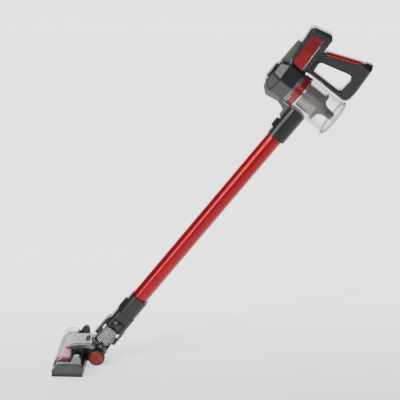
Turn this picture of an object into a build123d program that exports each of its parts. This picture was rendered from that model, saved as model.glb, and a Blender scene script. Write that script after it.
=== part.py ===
"""A cordless stick vacuum cleaner: floor head, jointed neck, wand, and a cyclone handheld.

Frame: +Z up, the floor at Z = 0, X across the head, the head's front towards -Y.
The origin is on the floor under the middle of the object's length.

Everything above the neck leans with the wand.  It is placed by three lean
coordinates: x across, u up the wand from the neck's pitch axis, and v square to
the wand, rearward and down.
"""
import os
from math import cos, radians, sin, sqrt

from build123d import *

os.makedirs("parts", exist_ok=True)

# ---------------------------------------------------------------- driving sizes
# clearances
FIT = 0.1  # between pieces of one body
GAP = 0.4  # between pieces of different bodies
RUN = 0.05  # radial, running fit

# floor head
HEAD_W = 240.0
HEAD_FRONT = 110.0  # wheel axle to the head's front
HEAD_REAR = 27.0  # wheel axle to the rear of the wide part, measured forward
SIDE_H = 36.0
WHEEL_R = 22.0
WHEEL_W = 14.0
WHEEL_CAP_R = 19.0
WHEEL_X = 32.0  # middle of a wheel
AXLE_R = 3.0
SOLE_Z = 2.0
PLATE_T = 2.0
CAP_T = 12.0  # end cap, across
SIDE_T = 3.0
BRUSH_AHEAD = 78.0  # wheel axle to brush axis
BRUSH_Z = 24.0
BRUSH_R = 23.0  # bristle tips
BRUSH_CORE_R = 15.0
BRUSH_PIN_R = 3.0
WINDOW_R = 29.0
WINDOW_T = 2.0
ROLLER_R = 6.0
ROLLER_W = 12.0
ROLLER_X = 70.0
ROLLER_AHEAD = 43.0
BRIDGE_W = 80.0
BRIDGE_TOP = 64.0
WALL = 2.4
LUG_HALF = 9.0

# neck
PIVOT_BACK = 11.0  # wheel axle to the pitch axis
PIVOT_Z = 53.5
LEAN = 51.5  # the wand above the floor, degrees
BARREL_R = 24.5
BARREL_W = 44.0
TRUNNION_R = 4.0
TRUNNION_OUT = 9.0
SWIVEL_U = 26.0  # pitch axis to swivel axis
PIN_R = 3.5
NECK_U = 110.0  # pitch axis to the seam under the wand
NECK_BODY_U = 55.0  # where the fork starts
NECK_W = 50.0
NECK_V = (-27.0, 28.0)
FORK_W = 28.0
BELLOWS_R = 20.5
BELLOWS_V = -1.0

# wand
TUBE_R = 22.0
TUBE_T = 1.5
LOWER_COLLAR_L = 59.0
TUBE_SHOWS = 571.0
COLLAR_R = 25.5
COLLAR_V = 1.5  # the collars are this far off the tube's axis
SOCKET_R = 19.2
SPIGOT_WALL = 2.4
SPIGOT_L = 38.0
TUBE_SEAT = 17.0
BUTTON_W = 16.0
BUTTON_TRAVEL = 2.0

# handheld
UPPER_COLLAR_L = 47.0  # along the front, to the slanted seam
SEAM_RISE = 25.0  # the seam is this much higher at the back
BIN_R = 48.0
BIN_T = 2.2
BIN_V = (-22.0, 80.0)
BIN_RIM_R = 50.0
BIN_ABOVE_SEAM = 38.0  # front of the slanted seam to the bin's underside
SHROUD_R = 34.0
SKIRT_R = 41.0
CONE_R = (22.0, 10.0)
COLLAR_FRONT_V = -55.0
RING_V = (-40.5, -27.3)
RING_R = 46.0
SILVER_R = 44.0
HEX_FLATS = 88.0
HEX_V = -91.0
NOSE_V = -117.0
NOSE_FLATS = 60.0
MOTOR_R = 33.0
BLOCK_HALF = 27.0
HANDLE_HALF = 16.0
SHELL_T = 2.4
PANEL_T = 1.8
CELL_R = 8.2
CELL_L = 65.0
JACK_R = 2.75
JACK_L = 9.5

# ------------------------------------------------------------- worked-out places
C, S = cos(radians(LEAN)), sin(radians(LEAN))
TUBE_U = NECK_U + LOWER_COLLAR_L  # lowest bare metal of the tube
COLLAR_U = TUBE_U + TUBE_SHOWS  # underside of the upper collar
SEAM_U = COLLAR_U + UPPER_COLLAR_L  # front end of the slanted seam
BIN_U = SEAM_U + BIN_ABOVE_SEAM + BIN_R  # the cyclone's axis
HANDLE_TOP = (74.0, BIN_U + 169.5)  # (v, u) of the highest point at the back
REAR_REACH = PIVOT_BACK + HANDLE_TOP[1] * C + HANDLE_TOP[0] * S
AXLE_Y = (HEAD_FRONT - REAR_REACH) / 2
PIVOT = Vector(0, AXLE_Y + PIVOT_BACK, PIVOT_Z)
BRUSH_Y = AXLE_Y - BRUSH_AHEAD
U_DIR = Vector(0, C, S)
V_DIR = Vector(0, S, -C)


def at(v, u, x=0.0):
    """The point at lean coordinates (x, v, u)."""
    return PIVOT + U_DIR * u + V_DIR * v + Vector(x, 0, 0)


def side(x=0.0):
    """A sketch plane square to X, whose sketch axes are v and u."""
    return Plane(origin=at(0, 0, x), x_dir=V_DIR, z_dir=(1, 0, 0))


def section(u, v=0.0):
    """A sketch plane square to the wand, whose sketch axes are x and v."""
    return Plane(origin=at(v, u), x_dir=(1, 0, 0), z_dir=U_DIR)


def across(v, u=0.0):
    """A sketch plane facing rearward along v, whose sketch axes are -x and u."""
    return Plane(origin=at(v, u), x_dir=(-1, 0, 0), z_dir=V_DIR)


def upright(x=0.0):
    """A sketch plane square to X, whose sketch axes are Y and Z."""
    return Plane(origin=(x, 0, 0), x_dir=(0, 1, 0), z_dir=(1, 0, 0))


CYCLONE = Axis(at(0, BIN_U), V_DIR)


def save(piece, name):
    """Labels a finished piece and writes its STEP file."""
    piece.part.label = name
    export_step(piece.part, f"parts/{name}.step")


def ring(v0, v1, outer, inner=0.0):
    """A turned ring about the cyclone's axis, from v0 to v1."""
    with BuildPart() as made:
        with BuildSketch(across(v0, BIN_U)):
            Circle(outer)
            if inner:
                Circle(inner, mode=Mode.SUBTRACT)
        extrude(amount=v1 - v0)
    return made


def turned(points, axis=CYCLONE):
    """A solid turned about an axis from its (v, u) half outline."""
    with BuildPart() as made:
        with BuildSketch(side()):
            with BuildLine():
                Polyline(*points, close=True)
            make_face()
        revolve(axis=axis)
    return made


# =========================================================== floor head
INNER_X = HEAD_W / 2 - SIDE_T - CAP_T  # half width between the end caps
DECK_Z = SIDE_H - 2
CHAMBER_R = BRUSH_R + 2.5
TONGUE_X = WHEEL_X - WHEEL_W / 2 - 2
TONGUE_REAR = PIVOT_BACK + 3.0
FRONT_Y = AXLE_Y - HEAD_FRONT
REAR_Y = AXLE_Y - HEAD_REAR
EAR_R = TRUNNION_R + 4.0
EAR_IN = BARREL_W / 2 + GAP
EAR_OUT = EAR_IN + 8.0
BELT_X = -INNER_X + 7.0
BELT_T = 1.4
PULLEY_W = 6.0
PULLEY_R = 9.0
PINION_R = 5.0
BELT_Y = BRUSH_Y + 36.5
MOTOR_X = -INNER_X + 15.0
BRUSH_MOTOR_R = 8.5
BRUSH_MOTOR_L = 50.0
ROLLER_PIN_R = 1.5


def belt_line(out):
    """Sketches the belt's outline, standing out from its two pulleys."""
    with Locations((BRUSH_Y, BRUSH_Z)):
        Circle(PULLEY_R + out)
    with Locations((BELT_Y, BRUSH_Z)):
        Circle(PINION_R + out)
    make_hull()


def hood(angle_from, angle_to):
    """The edges of a curved cover round the brush, between two angles."""
    with BuildLine() as rim:
        inner, outer = WINDOW_R - WINDOW_T, WINDOW_R
        CenterArc((BRUSH_Y, BRUSH_Z), outer, angle_from, angle_to - angle_from)
        CenterArc((BRUSH_Y, BRUSH_Z), inner, angle_from, angle_to - angle_from)
        for turn in (radians(angle_from), radians(angle_to)):
            Line(
                (BRUSH_Y + inner * cos(turn), BRUSH_Z + inner * sin(turn)),
                (BRUSH_Y + outer * cos(turn), BRUSH_Z + outer * sin(turn)),
            )
    return rim.edges()


with BuildPart() as head_base:
    with BuildSketch(upright(-INNER_X)):
        with BuildLine():
            Polyline(
                (BRUSH_Y - CHAMBER_R, SOLE_Z + PLATE_T),
                (REAR_Y, SOLE_Z + PLATE_T),
                (REAR_Y, SIDE_H - 10),
                (REAR_Y - 8, DECK_Z),
                (BRUSH_Y + 12, DECK_Z),
                (BRUSH_Y, DECK_Z),
                (BRUSH_Y - CHAMBER_R, SOLE_Z + PLATE_T + 3),
                close=True,
            )
        make_face()
    extrude(amount=2 * INNER_X)
    # the brush chamber, open below and in front
    with BuildSketch(upright(-INNER_X + WALL)):
        with Locations((BRUSH_Y, BRUSH_Z)):
            Circle(CHAMBER_R)
            with Locations((0, -CHAMBER_R)):
                Rectangle(2 * CHAMBER_R, 2 * CHAMBER_R)
            with Locations((-CHAMBER_R, 0)):
                Rectangle(2 * CHAMBER_R, 4 * CHAMBER_R)
    extrude(amount=2 * (INNER_X - WALL), mode=Mode.SUBTRACT)
    # the tongue that reaches back between the wheels
    with BuildSketch(upright(-TONGUE_X)):
        with BuildLine():
            Polyline(
                (REAR_Y - 10, SOLE_Z + PLATE_T + 4),
                (AXLE_Y + TONGUE_REAR - 4, SOLE_Z + PLATE_T + 4),
                (AXLE_Y + TONGUE_REAR, 14),
                (AXLE_Y + TONGUE_REAR, PIVOT_Z - BARREL_R - 3),
                (REAR_Y - 10, PIVOT_Z - BARREL_R - 3),
                close=True,
            )
        make_face()
    extrude(amount=2 * TONGUE_X)
    # the air duct, from the brush chamber back and up to the neck
    with BuildSketch(Plane.XZ.offset(-(BRUSH_Y + CHAMBER_R - 4))):
        with Locations((0, SOLE_Z + 16)):
            Rectangle(30, 12)
    extrude(amount=-(AXLE_Y + PIVOT_BACK - 2 - BRUSH_Y - CHAMBER_R + 4), mode=Mode.SUBTRACT)
    with BuildSketch(Plane.XY.offset(SOLE_Z + 16)):
        with Locations((0, AXLE_Y + PIVOT_BACK - 12)):
            Rectangle(26, 20)
    extrude(amount=30, mode=Mode.SUBTRACT)
    # ears that hold the neck's trunnions
    for sign in (-1, 1):
        with BuildSketch(upright(sign * (EAR_IN + EAR_OUT) / 2)):
            with Locations((PIVOT.Y, PIVOT.Z)):
                Circle(EAR_R)
            with Locations((PIVOT.Y - 14, PIVOT.Z - 3)):
                Rectangle(28, 2 * EAR_R - 6)
        extrude(amount=(EAR_OUT - EAR_IN) / 2, both=True)
        with BuildSketch(upright(sign * (EAR_IN + EAR_OUT) / 2)):
            with BuildLine():
                Polyline(
                    (REAR_Y - 8, DECK_Z - 6),
                    (REAR_Y - 8, PIVOT.Z - 2),
                    (PIVOT.Y - 20, PIVOT.Z + 3),
                    (PIVOT.Y - 20, PIVOT.Z - 6),
                    close=True,
                )
            make_face()
        extrude(amount=(EAR_OUT - EAR_IN) / 2, both=True)
    with BuildSketch(upright()):
        with Locations((PIVOT.Y, PIVOT.Z)):
            Circle(TRUNNION_R + RUN)
        with Locations((AXLE_Y, WHEEL_R)):
            Circle(AXLE_R + RUN)
        with Locations((BRUSH_Y, BRUSH_Z)):
            Circle(BRUSH_PIN_R + RUN)
        with Locations((AXLE_Y - ROLLER_AHEAD, ROLLER_R)):
            Circle(ROLLER_PIN_R + RUN)
    extrude(amount=HEAD_W, both=True, mode=Mode.SUBTRACT)
    # pockets for the brush motor, the belt and the front rollers
    with BuildSketch(upright(MOTOR_X)):
        with Locations((BELT_Y, BRUSH_Z)):
            Circle(BRUSH_MOTOR_R + FIT)
    extrude(amount=BRUSH_MOTOR_L + 2 * FIT, mode=Mode.SUBTRACT)
    with BuildSketch(upright(BELT_X - PULLEY_W / 2 - 1)):
        belt_line(BELT_T + 1.0)
    extrude(amount=PULLEY_W + 2, mode=Mode.SUBTRACT)
    with BuildSketch(upright(BELT_X - PULLEY_W / 2 - 1)):
        with Locations((BELT_Y, BRUSH_Z)):
            Circle(PINION_R + 2)
    extrude(amount=MOTOR_X - BELT_X + PULLEY_W, mode=Mode.SUBTRACT)
    with BuildSketch(Plane.XY.offset(SOLE_Z)):
        for sign in (-1, 1):
            with Locations((sign * ROLLER_X, AXLE_Y - ROLLER_AHEAD)):
                Rectangle(ROLLER_W + 2, 2 * ROLLER_R + 2)
    extrude(amount=ROLLER_R + 6, mode=Mode.SUBTRACT)
    # the hood behind the window, over the back of the brush
    with BuildSketch(upright(-INNER_X)):
        make_face(hood(20, 61))
    extrude(amount=2 * INNER_X)
save(head_base, "head_base")

with BuildPart() as sole_plate:
    with BuildSketch(Plane.XY.offset(SOLE_Z)):
        with Locations((0, (BRUSH_Y + CHAMBER_R + REAR_Y) / 2)):
            RectangleRounded(2 * INNER_X - 2, REAR_Y - BRUSH_Y - CHAMBER_R - 1, 3)
        for sign in (-1, 1):
            with Locations((sign * ROLLER_X, AXLE_Y - ROLLER_AHEAD)):
                Rectangle(ROLLER_W + 2, 2 * ROLLER_R + 2, mode=Mode.SUBTRACT)
    extrude(amount=PLATE_T)
save(sole_plate, "sole_plate")

with BuildPart() as front_bumper:
    with BuildSketch(upright(-INNER_X)):
        with BuildLine():
            Polyline(
                (FRONT_Y + 1, 5),
                (FRONT_Y + 4.5, 5),
                (FRONT_Y + 5, BRUSH_Z - 1.5),
                (FRONT_Y + 2.2, BRUSH_Z - 1.5),
                close=True,
            )
        make_face()
    extrude(amount=2 * INNER_X)
save(front_bumper, "front_bumper")


with BuildPart() as window:
    with BuildSketch(upright(-INNER_X)):
        make_face(hood(62, 178))
    extrude(amount=2 * INNER_X)
    for sign in (-1, 1):
        with BuildSketch(upright(sign * (INNER_X - WINDOW_T / 2))):
            with Locations((BRUSH_Y, BRUSH_Z)):
                Circle(WINDOW_R - WINDOW_T / 2)
            with Locations((BRUSH_Y, SIDE_H - WINDOW_R)):
                Rectangle(4 * WINDOW_R, 2 * WINDOW_R + 4, mode=Mode.SUBTRACT)
            with Locations((BRUSH_Y + WINDOW_R + 12, SIDE_H)):
                Rectangle(2 * WINDOW_R, 2 * WINDOW_R, mode=Mode.SUBTRACT)
        extrude(amount=WINDOW_T / 2, both=True)
save(window, "window")

BRIDGE_LOW = 49.0
VENT = (22.0, 7.0)
VENT_AHEAD = 25.0
with BuildPart() as bridge_cover:
    with BuildSketch(upright(-BRIDGE_W / 2)):
        with BuildLine():
            Polyline(
                (BRUSH_Y - 6, BRUSH_Z + WINDOW_R + 1),
                (BRUSH_Y + 8, BRIDGE_TOP - 4),
                (BRUSH_Y + 28, BRIDGE_TOP),
                (AXLE_Y - 12, BRIDGE_TOP),
                (AXLE_Y - 3, BRIDGE_TOP - 6),
                (AXLE_Y - 4, BRIDGE_LOW),
                (AXLE_Y - 30, BRIDGE_LOW + 2),
                (BRUSH_Y + 14, BRIDGE_LOW - 2),
                (BRUSH_Y - 6, BRIDGE_LOW - 2),
                close=True,
            )
        make_face()
        with Locations((BRUSH_Y, BRUSH_Z)):
            Circle(WINDOW_R + FIT, mode=Mode.SUBTRACT)
    extrude(amount=BRIDGE_W)
    top_edges = bridge_cover.edges().filter_by(GeomType.LINE)
    top_edges = top_edges.filter_by(lambda e: abs(abs(e.center().X) - BRIDGE_W / 2) < 0.01)
    fillet(top_edges.filter_by(lambda e: e.center().Z > BRIDGE_TOP - 5), radius=6)
    with BuildSketch(upright(-BRIDGE_W / 2 + WALL)):
        with BuildLine():
            Polyline(
                (BRUSH_Y + 10, BRIDGE_LOW - 8),
                (BRUSH_Y + 10, BRIDGE_TOP - 7),
                (BRUSH_Y + 29, BRIDGE_TOP - WALL),
                (AXLE_Y - 13, BRIDGE_TOP - WALL),
                (AXLE_Y - 6, BRIDGE_TOP - 8),
                (AXLE_Y, BRIDGE_TOP - 9),
                (AXLE_Y, BRIDGE_LOW - 8),
                close=True,
            )
        make_face()
    extrude(amount=BRIDGE_W - 2 * WALL, mode=Mode.SUBTRACT)
    with BuildSketch(Plane.XY.offset(BRIDGE_TOP - 8)):
        with Locations((0, AXLE_Y - VENT_AHEAD)):
            Ellipse(VENT[0], VENT[1])
    extrude(amount=10, mode=Mode.SUBTRACT)
    # room for the elbow, and for the neck's front lug when the wand stands up
    for radius, half in ((BARREL_R + 1, BARREL_W / 2 + 1), (BARREL_R + 3.5, LUG_HALF + 1.5)):
        with BuildSketch(upright(-half)):
            with Locations((PIVOT.Y, PIVOT.Z)):
                Circle(radius)
        extrude(amount=2 * half, mode=Mode.SUBTRACT)
save(bridge_cover, "bridge_cover")

with BuildPart() as bridge_vent:
    with BuildSketch(Plane.XY.offset(BRIDGE_TOP - WALL)):
        with Locations((0, AXLE_Y - VENT_AHEAD)):
            Ellipse(VENT[0] - FIT, VENT[1] - FIT)
    extrude(amount=WALL - 0.8)
save(bridge_vent, "bridge_vent")

LOBE = (AXLE_Y - 43.0, 49.0, 10.5)
with BuildPart() as end_caps:
    for sign in (-1, 1):
        with BuildSketch(upright(sign * (INNER_X + CAP_T / 2))):
            with BuildLine():
                Polyline(
                    (FRONT_Y + 1.5, SOLE_Z + 1),
                    (FRONT_Y + 1.5, SIDE_H - 15),
                    (FRONT_Y + 16, SIDE_H + 1.5),
                    (REAR_Y - 10, SIDE_H + 1.5),
                    (REAR_Y - 1, SIDE_H - 10),
                    (REAR_Y - 1, SOLE_Z + 1),
                    close=True,
                )
            make_face()
            with Locations((LOBE[0], LOBE[1])):
                Circle(LOBE[2])
            with Locations((LOBE[0], (LOBE[1] + SIDE_H - 10) / 2)):
                Rectangle(2 * LOBE[2], LOBE[1] - SIDE_H + 10)
            with BuildLine():
                Polyline(
                    (LOBE[0] - LOBE[2] - 9, SIDE_H + 1),
                    (LOBE[0] - LOBE[2] + 0.6, LOBE[1] + 4),
                    (LOBE[0], SIDE_H + 1),
                    close=True,
                )
            make_face()
        extrude(amount=CAP_T / 2, both=True)
save(end_caps, "end_caps")

with BuildPart() as side_panels:
    for sign in (-1, 1):
        with BuildSketch(upright(sign * (INNER_X + CAP_T + SIDE_T / 2))):
            with BuildLine():
                Polyline(
                    (FRONT_Y, 0.8),
                    (FRONT_Y, SIDE_H - 16),
                    (FRONT_Y + 16, SIDE_H),
                    (REAR_Y - 11, SIDE_H),
                    (REAR_Y, SIDE_H - 12),
                    (REAR_Y, 0.8),
                    close=True,
                )
            make_face()
        extrude(amount=SIDE_T / 2, both=True)
    fillet(side_panels.edges().filter_by(Axis.X), radius=2.5)
    for outer_face in (side_panels.faces().sort_by(Axis.X)[-1], side_panels.faces().sort_by(Axis.X)[0]):
        chamfer(outer_face.edges(), length=0.8)
save(side_panels, "side_panels")

for sign, where in ((-1, "left"), (1, "right")):
    with BuildPart() as tyre:
        with BuildSketch(upright(sign * (WHEEL_X - WHEEL_W / 2))):
            with Locations((AXLE_Y, WHEEL_R)):
                Circle(WHEEL_R)
        extrude(amount=sign * WHEEL_W)
        fillet(tyre.edges(), radius=2)
        with BuildSketch(upright(sign * (WHEEL_X - WHEEL_W / 2))):
            with Locations((AXLE_Y, WHEEL_R)):
                Circle(WHEEL_CAP_R - 4)
        extrude(amount=sign * WHEEL_W, mode=Mode.SUBTRACT)
        with BuildSketch(upright(sign * (WHEEL_X + WHEEL_W / 2 - 3))):
            with Locations((AXLE_Y, WHEEL_R)):
                Circle(WHEEL_CAP_R + FIT)
        extrude(amount=sign * WHEEL_W, mode=Mode.SUBTRACT)
    save(tyre, f"tyre_{where}")

    with BuildPart() as wheel_hub:
        with BuildSketch(upright(sign * (WHEEL_X - WHEEL_W / 2 + 0.5))):
            with Locations((AXLE_Y, WHEEL_R)):
                Circle(WHEEL_CAP_R - 4 - FIT)
        extrude(amount=sign * (WHEEL_W - 3.4))
        with BuildSketch(upright(sign * (WHEEL_X + WHEEL_W / 2 - 2.9))):
            with Locations((AXLE_Y, WHEEL_R)):
                Circle(WHEEL_CAP_R)
        extrude(amount=sign * 3.2)
        rim = wheel_hub.edges().filter_by(GeomType.CIRCLE).sort_by(Axis.X)
        fillet(rim[-1] if sign > 0 else rim[0], radius=1.2)
        with BuildSketch(upright(0)):
            with Locations((AXLE_Y, WHEEL_R)):
                Circle(AXLE_R + RUN)
        extrude(amount=sign * (WHEEL_X + WHEEL_W / 2 - 1.5), mode=Mode.SUBTRACT)
    save(wheel_hub, f"wheel_hub_{where}")

with BuildPart() as front_rollers:
    for sign in (-1, 1):
        with BuildSketch(upright(sign * ROLLER_X)):
            with Locations((AXLE_Y - ROLLER_AHEAD, ROLLER_R)):
                Circle(ROLLER_R)
        extrude(amount=ROLLER_W / 2, both=True)
    with BuildSketch(upright()):
        with Locations((AXLE_Y - ROLLER_AHEAD, ROLLER_R)):
            Circle(ROLLER_PIN_R)
    extrude(amount=ROLLER_X + ROLLER_W / 2 + 4, both=True)
save(front_rollers, "front_rollers")

with BuildPart() as wheel_axle:
    with BuildSketch(upright()):
        with Locations((AXLE_Y, WHEEL_R)):
            Circle(AXLE_R)
    extrude(amount=WHEEL_X + WHEEL_W / 2 - 2, both=True)
save(wheel_axle, "wheel_axle")

BRUSH_END = INNER_X - WALL - 1.0
with BuildPart() as brush_core:
    with BuildSketch(upright(BELT_X + PULLEY_W / 2 + 1)):
        with Locations((BRUSH_Y, BRUSH_Z)):
            Circle(BRUSH_CORE_R)
    extrude(amount=BRUSH_END - BELT_X - PULLEY_W / 2 - 1)
    with BuildSketch(upright(BELT_X - PULLEY_W / 2)):
        with Locations((BRUSH_Y, BRUSH_Z)):
            Circle(PULLEY_R)
    extrude(amount=PULLEY_W + 1)
    with BuildSketch(upright()):
        with Locations((BRUSH_Y, BRUSH_Z)):
            Circle(BRUSH_PIN_R)
    extrude(amount=INNER_X - 0.4, both=True)
save(brush_core, "brush_core")

with BuildPart() as bristles:
    with BuildSketch(upright(BELT_X + PULLEY_W / 2 + 2)):
        with Locations((BRUSH_Y, BRUSH_Z)):
            Circle(BRUSH_R)
            Circle(BRUSH_CORE_R + FIT, mode=Mode.SUBTRACT)
    extrude(amount=BRUSH_END - BELT_X - PULLEY_W / 2 - 3)
save(bristles, "bristles")

with BuildPart() as brush_motor:
    with BuildSketch(upright(MOTOR_X + FIT)):
        with Locations((BELT_Y, BRUSH_Z)):
            Circle(BRUSH_MOTOR_R)
            Circle(1.5 + RUN, mode=Mode.SUBTRACT)
    extrude(amount=BRUSH_MOTOR_L)
save(brush_motor, "brush_motor")

with BuildPart() as drive_pulley:
    with BuildSketch(upright(BELT_X - PULLEY_W / 2)):
        with Locations((BELT_Y, BRUSH_Z)):
            Circle(PINION_R)
    extrude(amount=PULLEY_W)
    with BuildSketch(upright(BELT_X)):
        with Locations((BELT_Y, BRUSH_Z)):
            Circle(1.5)
    extrude(amount=MOTOR_X - BELT_X + BRUSH_MOTOR_L - 4)
save(drive_pulley, "drive_pulley")

with BuildPart() as belt:
    with BuildSketch(upright(BELT_X - PULLEY_W / 2 + 0.6)):
        belt_line(BELT_T)
    extrude(amount=PULLEY_W - 1.2)
    with BuildSketch(upright(BELT_X - PULLEY_W / 2 + 0.6)):
        belt_line(FIT + 0.1)
    extrude(amount=PULLEY_W - 1.2, mode=Mode.SUBTRACT)
save(belt, "belt")

# =========================================================== neck
LUG_T = 3.5
LUG_V = (BELLOWS_V - BELLOWS_R - LUG_T - 0.5, BELLOWS_V + BELLOWS_R + 0.5)
RIM_U = 2.0
BOSS_T = 1.2

with BuildPart() as elbow:
    with BuildSketch(upright(-BARREL_W / 2)):
        with Locations((PIVOT.Y, PIVOT.Z)):
            Circle(BARREL_R)
    extrude(amount=BARREL_W)
    fillet(elbow.edges(), radius=6)
    with BuildSketch(side(-BARREL_W)):
        with Locations((0, RIM_U + BARREL_R)):
            Rectangle(4 * BARREL_R, 2 * BARREL_R)
    extrude(amount=2 * BARREL_W, mode=Mode.SUBTRACT)
    with BuildSketch(upright(-BARREL_W / 2 + 3)):
        with Locations((PIVOT.Y, PIVOT.Z)):
            Circle(BARREL_R - 2.6)
    extrude(amount=BARREL_W - 6, mode=Mode.SUBTRACT)
    with BuildSketch(section(-BARREL_R - 4, -6)):
        Circle(12)
    extrude(amount=BARREL_R, mode=Mode.SUBTRACT)
    for start in LUG_V:
        with BuildSketch(across(start)):
            with Locations((0, SWIVEL_U)):
                Circle(LUG_HALF)
            with Locations((0, SWIVEL_U / 2 - 1)):
                Rectangle(2 * LUG_HALF, SWIVEL_U + 2)
            with Locations((0, SWIVEL_U)):
                Circle(PIN_R + RUN, mode=Mode.SUBTRACT)
        extrude(amount=LUG_T)
    for sign in (-1, 1):
        with BuildSketch(upright(sign * (BARREL_W / 2 - BOSS_T))):
            with Locations((PIVOT.Y, PIVOT.Z)):
                Circle(2 * TRUNNION_R)
        extrude(amount=sign * BOSS_T)
        with BuildSketch(upright(sign * (BARREL_W / 2 - BOSS_T))):
            with Locations((PIVOT.Y, PIVOT.Z)):
                Circle(TRUNNION_R)
        extrude(amount=sign * (TRUNNION_OUT + BOSS_T))
save(elbow, "elbow")

ARM_FRONT = (LUG_V[0] - 8.5, LUG_V[0] - 0.5)
ARM_REAR = (LUG_V[1] + LUG_T + 0.5, LUG_V[1] + LUG_T + 6.5)
ARM_R = FORK_W / 2 - 1


def fork_arm(v0, v1):
    """One arm of the fork: a round-ended tongue that hangs beside the bellows."""
    with BuildPart() as arm:
        with BuildSketch(across(v0)):
            with Locations((0, SWIVEL_U)):
                Circle(ARM_R)
            with Locations((0, (SWIVEL_U + NECK_BODY_U + 10) / 2)):
                Rectangle(2 * ARM_R, NECK_BODY_U + 10 - SWIVEL_U)
        extrude(amount=v1 - v0)
        with BuildSketch(across(v0 - 1)):
            with Locations((0, SWIVEL_U)):
                Circle(PIN_R + FIT / 2)
        extrude(amount=v1 - v0 + 2, mode=Mode.SUBTRACT)
    return arm


front_arm = fork_arm(*ARM_FRONT)
rear_arm = fork_arm(*ARM_REAR)
NECK_MID = sum(NECK_V) / 2
NECK_ROUND = 14.0
PANEL = (30.0, 32.0)  # the neck's side panel: along v and along the wand
PANEL_MID_U = NECK_U - 38.0

with BuildPart() as neck_shell:
    with BuildSketch(section(NECK_BODY_U, NECK_MID)):
        RectangleRounded(NECK_W, NECK_V[1] - NECK_V[0], NECK_ROUND)
    extrude(amount=NECK_U - NECK_BODY_U)
    add(front_arm.part)
    add(rear_arm.part)
    with BuildSketch(side(-FORK_W / 2 + 1)):
        with BuildLine():
            Polyline(
                (ARM_FRONT[0], NECK_BODY_U + 10),
                (NECK_V[0], NECK_BODY_U + 26),
                (NECK_V[0] + 2, NECK_BODY_U + 10),
                close=True,
            )
        make_face()
    extrude(amount=FORK_W - 2)
    with BuildSketch(section(NECK_U)):
        Circle(SOCKET_R - GAP)
    extrude(amount=SPIGOT_L)
    with BuildSketch(section(NECK_BODY_U - 1)):
        Circle(SOCKET_R - GAP - SPIGOT_WALL)
    extrude(amount=NECK_U + SPIGOT_L, mode=Mode.SUBTRACT)
    with BuildSketch(side(-NECK_W / 2)):
        with Locations((NECK_MID, PANEL_MID_U)):
            Rectangle(PANEL[0] + 2 * FIT, PANEL[1] + 2 * FIT)
    extrude(amount=1.6, mode=Mode.SUBTRACT)
    with BuildSketch(side(NECK_W / 2)):
        with Locations((NECK_MID, PANEL_MID_U)):
            Rectangle(PANEL[0] + 2 * FIT, PANEL[1] + 2 * FIT)
    extrude(amount=-1.6, mode=Mode.SUBTRACT)
save(neck_shell, "neck_shell")

with BuildPart() as swivel_pins:
    for start, length in ((ARM_FRONT[0] + 2, 10.0), (LUG_V[1] + 0.2, 9.0)):
        with BuildSketch(across(start)):
            with Locations((0, SWIVEL_U)):
                Circle(PIN_R)
        extrude(amount=length)
save(swivel_pins, "swivel_pins")

with BuildPart() as bellows:
    with BuildSketch(section(RIM_U, BELLOWS_V)):
        Circle(BELLOWS_R)
        Circle(BELLOWS_R - 3.5, mode=Mode.SUBTRACT)
    extrude(amount=NECK_BODY_U - RIM_U - 0.2)
save(bellows, "bellows")

# =========================================================== wand
COLLAR_ROUND = 20.0
SEAT_STOP = 2.0
BUTTON_FLOOR = COLLAR_V - COLLAR_R + 3.6  # bottom of a release button's pocket


def seam_above(rise):
    """Half-plane outline above the slanted seam, moved up by rise."""
    front, back = COLLAR_V - COLLAR_R, COLLAR_V + COLLAR_R
    slope = SEAM_RISE / (back - front)
    low, high = SEAM_U + rise - 10 * slope, SEAM_U + rise + SEAM_RISE + 10 * slope
    with BuildLine() as line:
        Polyline(
            (front - 10, low), (back + 10, high), (back + 10, 2 * high), (front - 10, 2 * high), close=True
        )
    return line.edges()


def button_pocket(u0, length):
    """The pocket of a release button, cut into a collar's front."""
    with BuildPart() as cut:
        with BuildSketch(across(COLLAR_V - COLLAR_R - 6, u0)):
            with Locations((0, length / 2)):
                RectangleRounded(BUTTON_W + 0.8, length + 0.8, 3)
        extrude(amount=BUTTON_FLOOR - COLLAR_V + COLLAR_R + 6)
    return cut


def release_button(u0, length, out):
    """A release button that stands out of a collar's front."""
    inner = BUTTON_FLOOR - BUTTON_TRAVEL - GAP
    with BuildPart() as made:
        with BuildSketch(across(inner, u0)):
            with Locations((0, length / 2)):
                RectangleRounded(BUTTON_W, length, 2.6)
        extrude(amount=COLLAR_V - COLLAR_R - out - inner)
        outer_face = made.faces().sort_by(Axis(at(0, 0), V_DIR))[0]
        fillet(outer_face.edges(), radius=1.0)
    return made


LOWER_BUTTON = (NECK_U + 2, 33.0)
UPPER_BUTTON = (SEAM_U - 28, 25.0)
lower_pocket = button_pocket(*LOWER_BUTTON)
upper_pocket = button_pocket(*UPPER_BUTTON)

with BuildPart() as lower_collar:
    with BuildSketch(section(NECK_U + GAP, COLLAR_V)):
        RectangleRounded(2 * COLLAR_R, 2 * COLLAR_R, COLLAR_ROUND)
    extrude(amount=LOWER_COLLAR_L - GAP)
    with BuildSketch(section(NECK_U)):
        Circle(SOCKET_R)
    extrude(amount=LOWER_COLLAR_L - TUBE_SEAT - SEAT_STOP, mode=Mode.SUBTRACT)
    with BuildSketch(section(NECK_U)):
        Circle(SOCKET_R - 2)
    extrude(amount=LOWER_COLLAR_L, mode=Mode.SUBTRACT)
    with BuildSketch(section(TUBE_U - TUBE_SEAT)):
        Circle(TUBE_R + FIT)
    extrude(amount=TUBE_SEAT, mode=Mode.SUBTRACT)
    add(lower_pocket.part, mode=Mode.SUBTRACT)
save(lower_collar, "lower_collar")

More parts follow.
